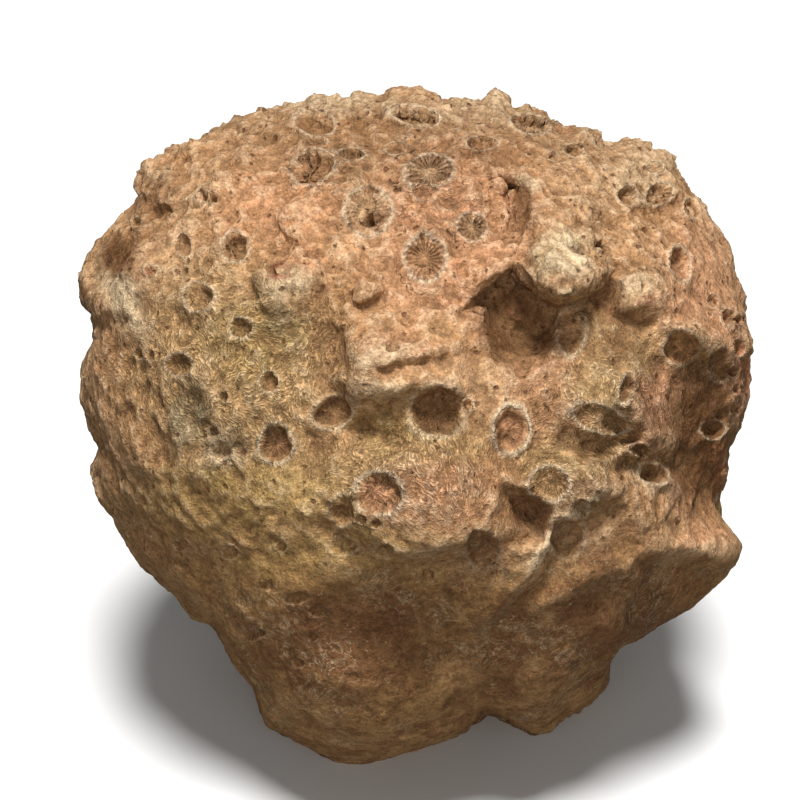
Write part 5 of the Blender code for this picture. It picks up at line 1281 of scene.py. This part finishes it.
def mark_cups(mesh, points, hidden_cups):
    """Where each corner lies in the cup nearest to it, in cup widths, and the cup's ribs and pale rim."""
    normals = coordinates(mesh, "normal")
    places = FRONT.places(points)
    facing = dots(normals, FRONT.sight_lines(points))
    nearest = np.full(len(points), CUP_COUNTS_TO)
    spot = np.full((len(points), 3), NO_CUP)
    pale = np.zeros(len(points))
    star = np.zeros(len(points))
    for name, cup in CUPS.items():
        _, _, wide, tall, *_ = cup
        near, out, angle = round_cup(places, cup)
        closer = (facing[near] > 0.0) & (out < nearest[near])
        near, out, angle = near[closer], out[closer], angle[closer]
        nearest[near] = out
        count = max(LEAST_RIBS, round(RIBS_BY_SIZE * (wide + tall)))
        spot[near] = np.stack((out * np.cos(angle), out * np.sin(angle), np.full(len(near), count)), axis=1)
        pale[near] = CUP_TONES.get(name, (OTHER_RIMS, None, 0.0))[0]
        star[near] = STAR_CUPS.get(name, OTHER_CUPS)
    for middle, along, over in hidden_cups:
        offset = points - middle
        x, y = offset @ along, offset @ over
        out = np.hypot(x, y)
        near = np.flatnonzero((out < nearest) & (np.linalg.norm(offset, axis=1) < 3 * CUP_HALF_WIDTHS[1]))
        nearest[near] = out[near]
        spot[near] = np.stack((x[near], y[near], np.full(len(near), HIDDEN_RIBS)), axis=1)
        pale[near] = HIDDEN_RIMS
        star[near] = OTHER_CUPS
    mark(mesh, "cup_spot", spot)
    mark(mesh, "rim", pale)
    mark(mesh, "star", star)


def mark_relief(mesh, points):
    """How far each corner stands proud of the evened surface, close up and from further off; the material
    paints pale edges and shade by it.
    """
    edges = edge_ends(mesh)
    near = evened(points, edges, RELIEF_NEAR)
    normals = unit(evened(coordinates(mesh, "normal"), edges, RELIEF_NORMALS))
    far = evened(near, edges, RELIEF_FAR)
    mark(mesh, "near_relief", evened(dots(points - near, normals), edges, 1) / MM)
    mark(mesh, "far_relief", dots(near - far, normals) / MM)


def mark_flow(mesh, points):
    """The way across the fine ribs at each corner: round the cups near them, and elsewhere a slow drift."""
    normals = unit(evened(coordinates(mesh, "normal"), edge_ends(mesh), RIB_NORMALS))
    places = FRONT.places(points)
    away = np.where(dots(normals, FRONT.sight_lines(points)) > 0, 0, OUT_OF_SIGHT)
    drift = fields(points, RIB_DRIFT, (2.0, 14.0, 26.0))
    flow = np.cross(normals, np.array(RIB_LEAN) + RIB_DRIFTS_BY * drift)
    flow *= RIB_DRIFT_COUNTS / np.linalg.norm(flow, axis=1, keepdims=True)
    for across, down, wide, tall, *_ in CUPS.values():
        if min(wide, tall) < RIB_LEAST_CUP:
            continue
        middle = points[int((np.hypot(*(places - (across, down)).T) + away).argmin())]
        offset = points - middle
        apart = np.linalg.norm(offset, axis=1)
        reach = 0.5 * (wide + tall) * POINT
        round_it = np.cross(normals, offset) / np.maximum(apart, ROUNDING)[:, None]
        flow += round_it * np.exp(-((apart / (RIB_CUP_REACH * reach)) ** 2))[:, None] * RIB_CUP_COUNTS
    flow /= np.maximum(np.linalg.norm(flow, axis=1, keepdims=True), ROUNDING)
    mark(mesh, "rib_across", flow)
    mark(mesh, "rib_along", np.cross(normals, flow))


def model_rock():
    """The stone as one mesh: the ball, its big forms, its foot, its cups and ridges, its grain, its break."""
    bpy.ops.object.select_all(action="DESELECT")
    bpy.ops.mesh.primitive_ico_sphere_add(subdivisions=START_SPLITS, radius=1.0)
    rock = bpy.context.object
    rock.name = "coral_rock_stone"
    mesh = rock.data
    points = swell_sides(ball(unit(coordinates(mesh, "co"))))
    points = push_big_forms(points, FRONT, BULGES, LEDGES)
    points = push_faces(points)
    points = push_big_forms(points, BACK, BACK_BULGES, BACK_LEDGES)
    set_coordinates(mesh, set_on_foot(points))
    apply_modifier(rock, "REMESH", mode="VOXEL", voxel_size=SKIN_MESH)
    keep_outer_skin(mesh)
    roughen(mesh)
    carve(mesh, FRONT, CUPS, RIDGES)
    carve(mesh, BACK, {}, BACK_RIDGES)
    hidden_cups = scatter_cups(mesh)
    strew_grit(mesh)
    apply_modifier(rock, "TRIANGULATE")
    apply_modifier(rock, "DECIMATE", ratio=TRIANGLES / len(mesh.polygons))
    break_off_flat(mesh, -BREAK_DROP)
    keep_outer_skin(mesh)
    move = place_in_box(mesh, *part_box("coral_rock"))
    bpy.ops.object.shade_smooth()
    points = coordinates(mesh, "co") - move
    mark_tones(mesh, points)
    mark_cups(mesh, points, hidden_cups)
    mark_relief(mesh, points)
    mark_flow(mesh, points)
    return rock, move


class Wire:
    """A value or colour in the stone's material. Python's operators on it add Math nodes."""

    def __init__(self, board, socket):
        self.board = board
        self.socket = socket

    def __add__(self, other):
        return self.board.maths("ADD", self, other)

    def __sub__(self, other):
        return self.board.maths("SUBTRACT", self, other)

    def __rsub__(self, other):
        return self.board.maths("SUBTRACT", other, self)

    def __mul__(self, other):
        return self.board.maths("MULTIPLY", self, other)

    def __pow__(self, other):
        return self.board.maths("POWER", self, other)

    __radd__ = __add__
    __rmul__ = __mul__


class Board:
    """A material's node tree, which nodes and sums are added to."""

    def __init__(self, name):
        self.material = bpy.data.materials.new(name)
        self.material.use_nodes = True
        self.tree = self.material.node_tree
        self.tree.nodes.clear()

    def node(self, kind, settings=None, **sockets):
        """A node of a kind, with its settings first and then its sockets' values or links."""
        made = self.tree.nodes.new("ShaderNode" + kind)
        for name, value in (settings or {}).items():
            setattr(made, name, value)
        for name, value in sockets.items():
            key = int(name[1:]) if name[0] == "_" else name.replace("_", " ")
            self.feed(made.inputs[key], value)
        return made

    def feed(self, socket, value):
        """Links a wire to a socket, or sets the socket to a value."""
        if isinstance(value, Wire):
            self.tree.links.new(value.socket, socket)
        elif value is not None:
            socket.default_value = value

    def wire(self, node, output=0):
        """What comes out of a node."""
        return Wire(self, node.outputs[output])

    def maths(self, operation, *values):
        """The outcome of a Math node on wires or numbers."""
        sockets = {f"_{index}": value for index, value in enumerate(values)}
        made = self.node("Math", {"operation": operation}, **sockets)
        return self.wire(made)

    def vector(self, operation, first, second, output=0):
        """A sum, a difference or, from output 1, the dot product of two vectors."""
        return self.wire(self.node("VectorMath", {"operation": operation}, _0=first, _1=second), output)

    def mark(self, name, output=2):
        """A value that the mesh keeps under this name."""
        return self.wire(self.node("Attribute", {"attribute_name": name}), output)

    def step(self, value, low, high):
        """0 below low, 1 above high and smooth between."""
        made = self.node(
            "MapRange", {"interpolation_type": "SMOOTHSTEP"}, Value=value, From_Min=low, From_Max=high
        )
        return self.wire(made)

    def noise(self, place, size, detail=2.0, roughness=0.5, distortion=0.0):
        """Soft noise from 0 to 1, so many millimetres wide, on a place in millimetres."""
        made = self.node(
            "TexNoise", Vector=place, Scale=1 / size, Detail=detail, Roughness=roughness,
            Distortion=distortion,
        )
        return self.wire(made)

    def mix(self, share, first, second):
        """Two colours, mixed by a share."""
        made = self.node("Mix", {"data_type": "RGBA"}, _0=share, _6=first, _7=second)
        return self.wire(made, 2)

    def scaled(self, colour, factor):
        """A colour times a value."""
        made = self.node("VectorMath", {"operation": "SCALE"}, _0=colour, Scale=factor)
        return self.wire(made)


def fine_ribs(board, place):
    """Short wavy ribs in bundles: noise drawn out along the ribs, about the middle of each bundle."""
    sway = board.wire(board.node("TexNoise", Vector=place, Scale=0.35, Detail=1.0), 1)
    sway = board.vector("SUBTRACT", sway, (0.5, 0.5, 0.5))
    bent = board.vector("ADD", place, board.scaled(sway, 3.0))
    bundle = board.node("TexVoronoi", Vector=bent, Scale=1 / RIB_BUNDLE)
    local = board.vector("SUBTRACT", bent, board.wire(bundle, 2))
    across = board.vector("DOT_PRODUCT", local, board.mark("rib_across", 1), 1)
    along = board.vector("DOT_PRODUCT", local, board.mark("rib_along", 1), 1)
    drawn = board.node("CombineXYZ", X=across * (1 / RIB_WIDE), Y=along * (1 / RIB_LONG))
    spot = board.vector("ADD", board.wire(drawn), board.scaled(board.wire(bundle, 1), 20.0))
    loose = board.noise(spot, 1.0, 0.0, 0.5, 0.4)
    kink = board.noise(place, 1.6, 1.0) * 7.0
    even = board.maths("SINE", across * (math.tau / RIB_APART) + kink) * 0.5 + 0.5
    return 0.4 * board.step(loose, 0.42, 0.58) + 0.6 * even**1.6 * board.step(loose, 0.3, 0.45)


def cup_lines(board, wobble):
    """The thin rim round each cup and the fine ribs that run to its middle, each from 0 to 1."""
    parts = board.node("SeparateXYZ", Vector=board.mark("cup_spot", 1))
    x, y, count = (board.wire(parts, k) for k in range(3))
    out = (x * x + y * y) ** 0.5 + (wobble - 0.5) * 0.45
    rim = board.step(out, 0.92, 1.03) * board.step(out, 1.3, 1.08)
    turn = board.maths("ARCTAN2", y, x) * count + (wobble - 0.5) * 9.0
    ribs = board.maths("SINE", turn) * 0.5 + 0.5
    return rim, ribs, board.mark("star") * board.step(out, 0.15, 0.5) * board.step(out, 1.25, 1.0)


def patched_stone(board, place, middling):
    """Two tones of plain stone, with pink, ochre, olive, pale, grey, dark brown and rusty patches, the grey
    and dark brown partly painted shade.
    """
    broad = board.noise(place, 22.0, 3.0)
    colour = board.mix(board.step(broad, 0.35, 0.65), *PLAIN_TONES)
    for name, tone in PATCH_TONES.items():
        amount = board.mark(name) * (0.2 + 1.6 * middling)
        colour = board.mix(board.maths("MINIMUM", amount, 1.0), colour, tone)
    return colour


def underside_tone_and_shade(board, place):
    """The mottled golden brown of the smooth underside, partly its own browner tone and partly painted shade,
    with more painted shade in its hollows.
    """
    mottled = board.step(board.noise(place, 9.0, 5.0, 0.62, 0.8), 0.42, 0.6)
    return board.mix(board.mark("umber_and_shade") * 0.8, board.mix(mottled, *UNDERSIDE_TONES_AND_SHADE), UNDERSIDE_UMBER_AND_SHADE)


def worn(board, colour, small, under):
    """Pale on proud edges, partly wear and partly painted highlight, and painted shade in small and in wide
    hollows.
    """
    near_relief = board.mark("near_relief")
    umber_shade_share = board.maths("MINIMUM", board.mark("umber_and_shade"), 1.0)
    proud_wear_and_highlight = board.step(near_relief, 0.04, 0.25) * board.step(small, 0.35, 0.6) * (1 - under)
    colour = board.mix(0.3 * proud_wear_and_highlight * (1 - 0.9 * umber_shade_share), colour, WORN_TONE_AND_HIGHLIGHT)
    # Painted shade in the small hollows, then in the wide ones.
    colour = board.mix(0.5 * board.step(near_relief, -0.03, -0.24), colour, SUNK_PAINTED_SHADE)
    return board.mix(0.3 * board.step(board.mark("far_relief"), -0.2, -1.2), colour, HOLLOW_PAINTED_SHADE)


def stained(board, colour, place, middling, under):
    """Dark stains, and on the underside thin pale veins and flecks."""
    stains = board.step(board.noise(place, 5.0, 4.0, 0.7), 0.56, 0.72)
    colour = board.mix(0.45 * stains, colour, STAIN_TONE)
    vein = board.maths("ABSOLUTE", board.noise(place, 7.0, 6.0, 0.7, 1.2) - 0.5)
    veins = board.step(vein, 0.022, 0.0) * board.step(board.noise(place, 16.0, 2.0), 0.45, 0.6)
    flecks = board.step(board.noise(place, 1.3, 3.0, 0.6), 0.6, 0.68) * board.step(middling, 0.5, 0.62)
    return board.mix(0.75 * board.maths("MAXIMUM", veins, flecks) * under, colour, VEIN_TONE)


def small_pits(board, place, small, under):
    """Ragged little pits from 0 to 1, in some cells of the stone only, and few on the underside; they are
    painted dark as their shade.
    """
    cell = board.node("TexVoronoi", Vector=place, Scale=1 / PIT_APART)
    chosen = board.step(board.wire(board.node("SeparateColor", Color=board.wire(cell, 1))), 0.55, 1.0)
    ragged = board.wire(cell) + 0.9 * (small - 0.5) + 0.3 * (1 - chosen)
    return board.step(ragged, 0.35, 0.12) * (1 - 0.8 * under)


def weathered_limestone():
    """Old coral limestone: ochre and pink stone with fine ribs, pale lips partly worn and partly painted
    highlight, and brown painted shade in its hollows.
    """
    board = Board("weathered_limestone")
    place = board.scaled(board.wire(board.node("TexCoord"), 3), 1 / MM)
    middling = board.noise(place, 6.0, 4.0, 0.65)
    small = board.noise(place, 1.8, 4.0, 0.7)
    grain = board.noise(place, 0.6, 3.0, 0.7)
    under = board.mark("under")
    rib_share = 0.1 * (1 - under) + 0.8 * board.mark("ribs") * board.step(middling, 0.3, 0.5)
    rib_line = board.step(fine_ribs(board, place), 0.2, 0.75)
    rim, cup_ribs, in_cup = cup_lines(board, board.noise(place, 3.0, 2.0))
    cup_ribs = 1 - in_cup * (1 - cup_ribs)
    rim = rim * (1 - 0.7 * under) * board.mark("rim")
    rim = rim * board.step(small, 0.22, 0.45) * board.step(middling, 0.25, 0.5)
    pits = small_pits(board, place, small, under)

    colour = patched_stone(board, place, middling)
    # Over the smooth underside and what faces down, a browner tone that is partly painted shade.
    underside_and_shade_share = under * 0.85 * (1 - 0.75 * board.mark("pale"))
    colour = board.mix(underside_and_shade_share, colour, underside_tone_and_shade(board, place))
    # Pale cup rims, partly their own pale and partly painted highlight.
    colour = board.mix(0.8 * rim, colour, RIM_TONE_AND_HIGHLIGHT)
    # Pale proud edges, partly painted highlight, and painted shade in the hollows.
    colour = worn(board, colour, small, under)
    colour = stained(board, colour, place, middling, under)
    # Random mottling, and painted shade in the grooves between the fine ribs and between the ribs in the
    # cups.
    mottle_and_rib_shade = (0.75 + 0.5 * middling) * (0.7 + 0.6 * board.step(small, 0.32, 0.68))
    mottle_and_rib_shade = mottle_and_rib_shade * (1 - rib_share * (1 - rib_line) * 0.58) * (0.6 + 0.4 * cup_ribs)
    mottle_and_rib_shade = mottle_and_rib_shade * (0.8 + 0.4 * board.step(grain, 0.36, 0.64))
    # The little pits painted dark, as painted shade.
    colour = board.mix(0.7 * pits, board.scaled(colour, mottle_and_rib_shade), PIT_PAINTED_SHADE)

    height = rib_share * rib_line * 0.5 + small * 0.9 * (1 - 0.25 * under) + grain * 0.35 - pits * 0.5
    height = height + cup_ribs * 0.35 + rim * 0.3
    bump = board.node("Bump", Strength=1.0, Distance=MM, Height=height)
    shader = board.node("BsdfPrincipled", Base_Color=colour, Normal=board.wire(bump))
    board.feed(shader.inputs["Roughness"], 0.86 + 0.12 * small)
    shader.inputs["Specular IOR Level"].default_value = STONE_SHEEN
    board.node("OutputMaterial", Surface=board.wire(shader))
    return board.material


def floor_finish():
    """The plain pale finish of the floor."""
    board = Board("pale_floor")
    shader = board.node("BsdfPrincipled", Base_Color=FLOOR_TONE, Roughness=0.95)
    board.node("OutputMaterial", Surface=board.wire(shader))
    return board.material


def lay_floor():
    """A floor that the stone stands on and throws its shadow on."""
    bpy.ops.mesh.primitive_plane_add(size=FLOOR_ACROSS, location=(0, 0, 0))
    floor = bpy.context.object
    floor.name = "floor"
    floor.data.materials.append(floor_finish())
    floor.visible_diffuse = False


def set_up(name, data, place, way):
    """Puts a light or a camera at a place, looking a way."""
    thing = bpy.data.objects.new(name, data)
    thing.location = place
    thing.rotation_euler = Vector(way).to_track_quat("-Z", "Y").to_euler()
    bpy.context.scene.collection.objects.link(thing)
    return thing


def light_stage():
    """A soft room with a broad light overhead and a weak soft box in front."""
    scene = bpy.context.scene
    world = bpy.data.worlds.new("soft_room")
    world.use_nodes = True
    background = world.node_tree.nodes["Background"]
    background.inputs["Color"].default_value = ROOM_TONE
    background.inputs["Strength"].default_value = ROOM_LIGHT
    scene.world = world
    scene.view_settings.view_transform = "Standard"
    sun = bpy.data.lights.new("overhead_light", "SUN")
    sun.energy = SUN_STRENGTH
    sun.angle = SUN_SPREAD
    set_up("overhead_light", sun, (0, 0, 0), -Vector(SUN_DIRECTION))
    fill = bpy.data.lights.new("front_soft_box", "AREA")
    fill.shape = "DISK"
    fill.size = FILL_ACROSS
    fill.energy = FILL_POWER
    set_up("front_soft_box", fill, FILL_PLACE, Vector(FILL_AIM) - Vector(FILL_PLACE))


def set_camera(middle):
    """The eye that the front picture is drawn from."""
    camera = bpy.data.cameras.new("front_eye")
    camera.sensor_width = SENSOR
    camera.lens = SENSOR * SIGHT_DISTANCE / (PICTURE_SIZE * POINT)
    camera.shift_x = (PICTURE_SIZE / 2 - PICTURE_MIDDLE[0]) / PICTURE_SIZE
    camera.shift_y = (PICTURE_MIDDLE[1] - PICTURE_SIZE / 2) / PICTURE_SIZE
    place = middle + SIGHT_DISTANCE * FRONT.toward
    bpy.context.scene.camera = set_up("front_eye", camera, place, -FRONT.toward)


rock, middle = model_rock()
rock.data.materials.append(weathered_limestone())
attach(rock, "root")
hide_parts("coral_rock")
lay_floor()
light_stage()
set_camera(middle)
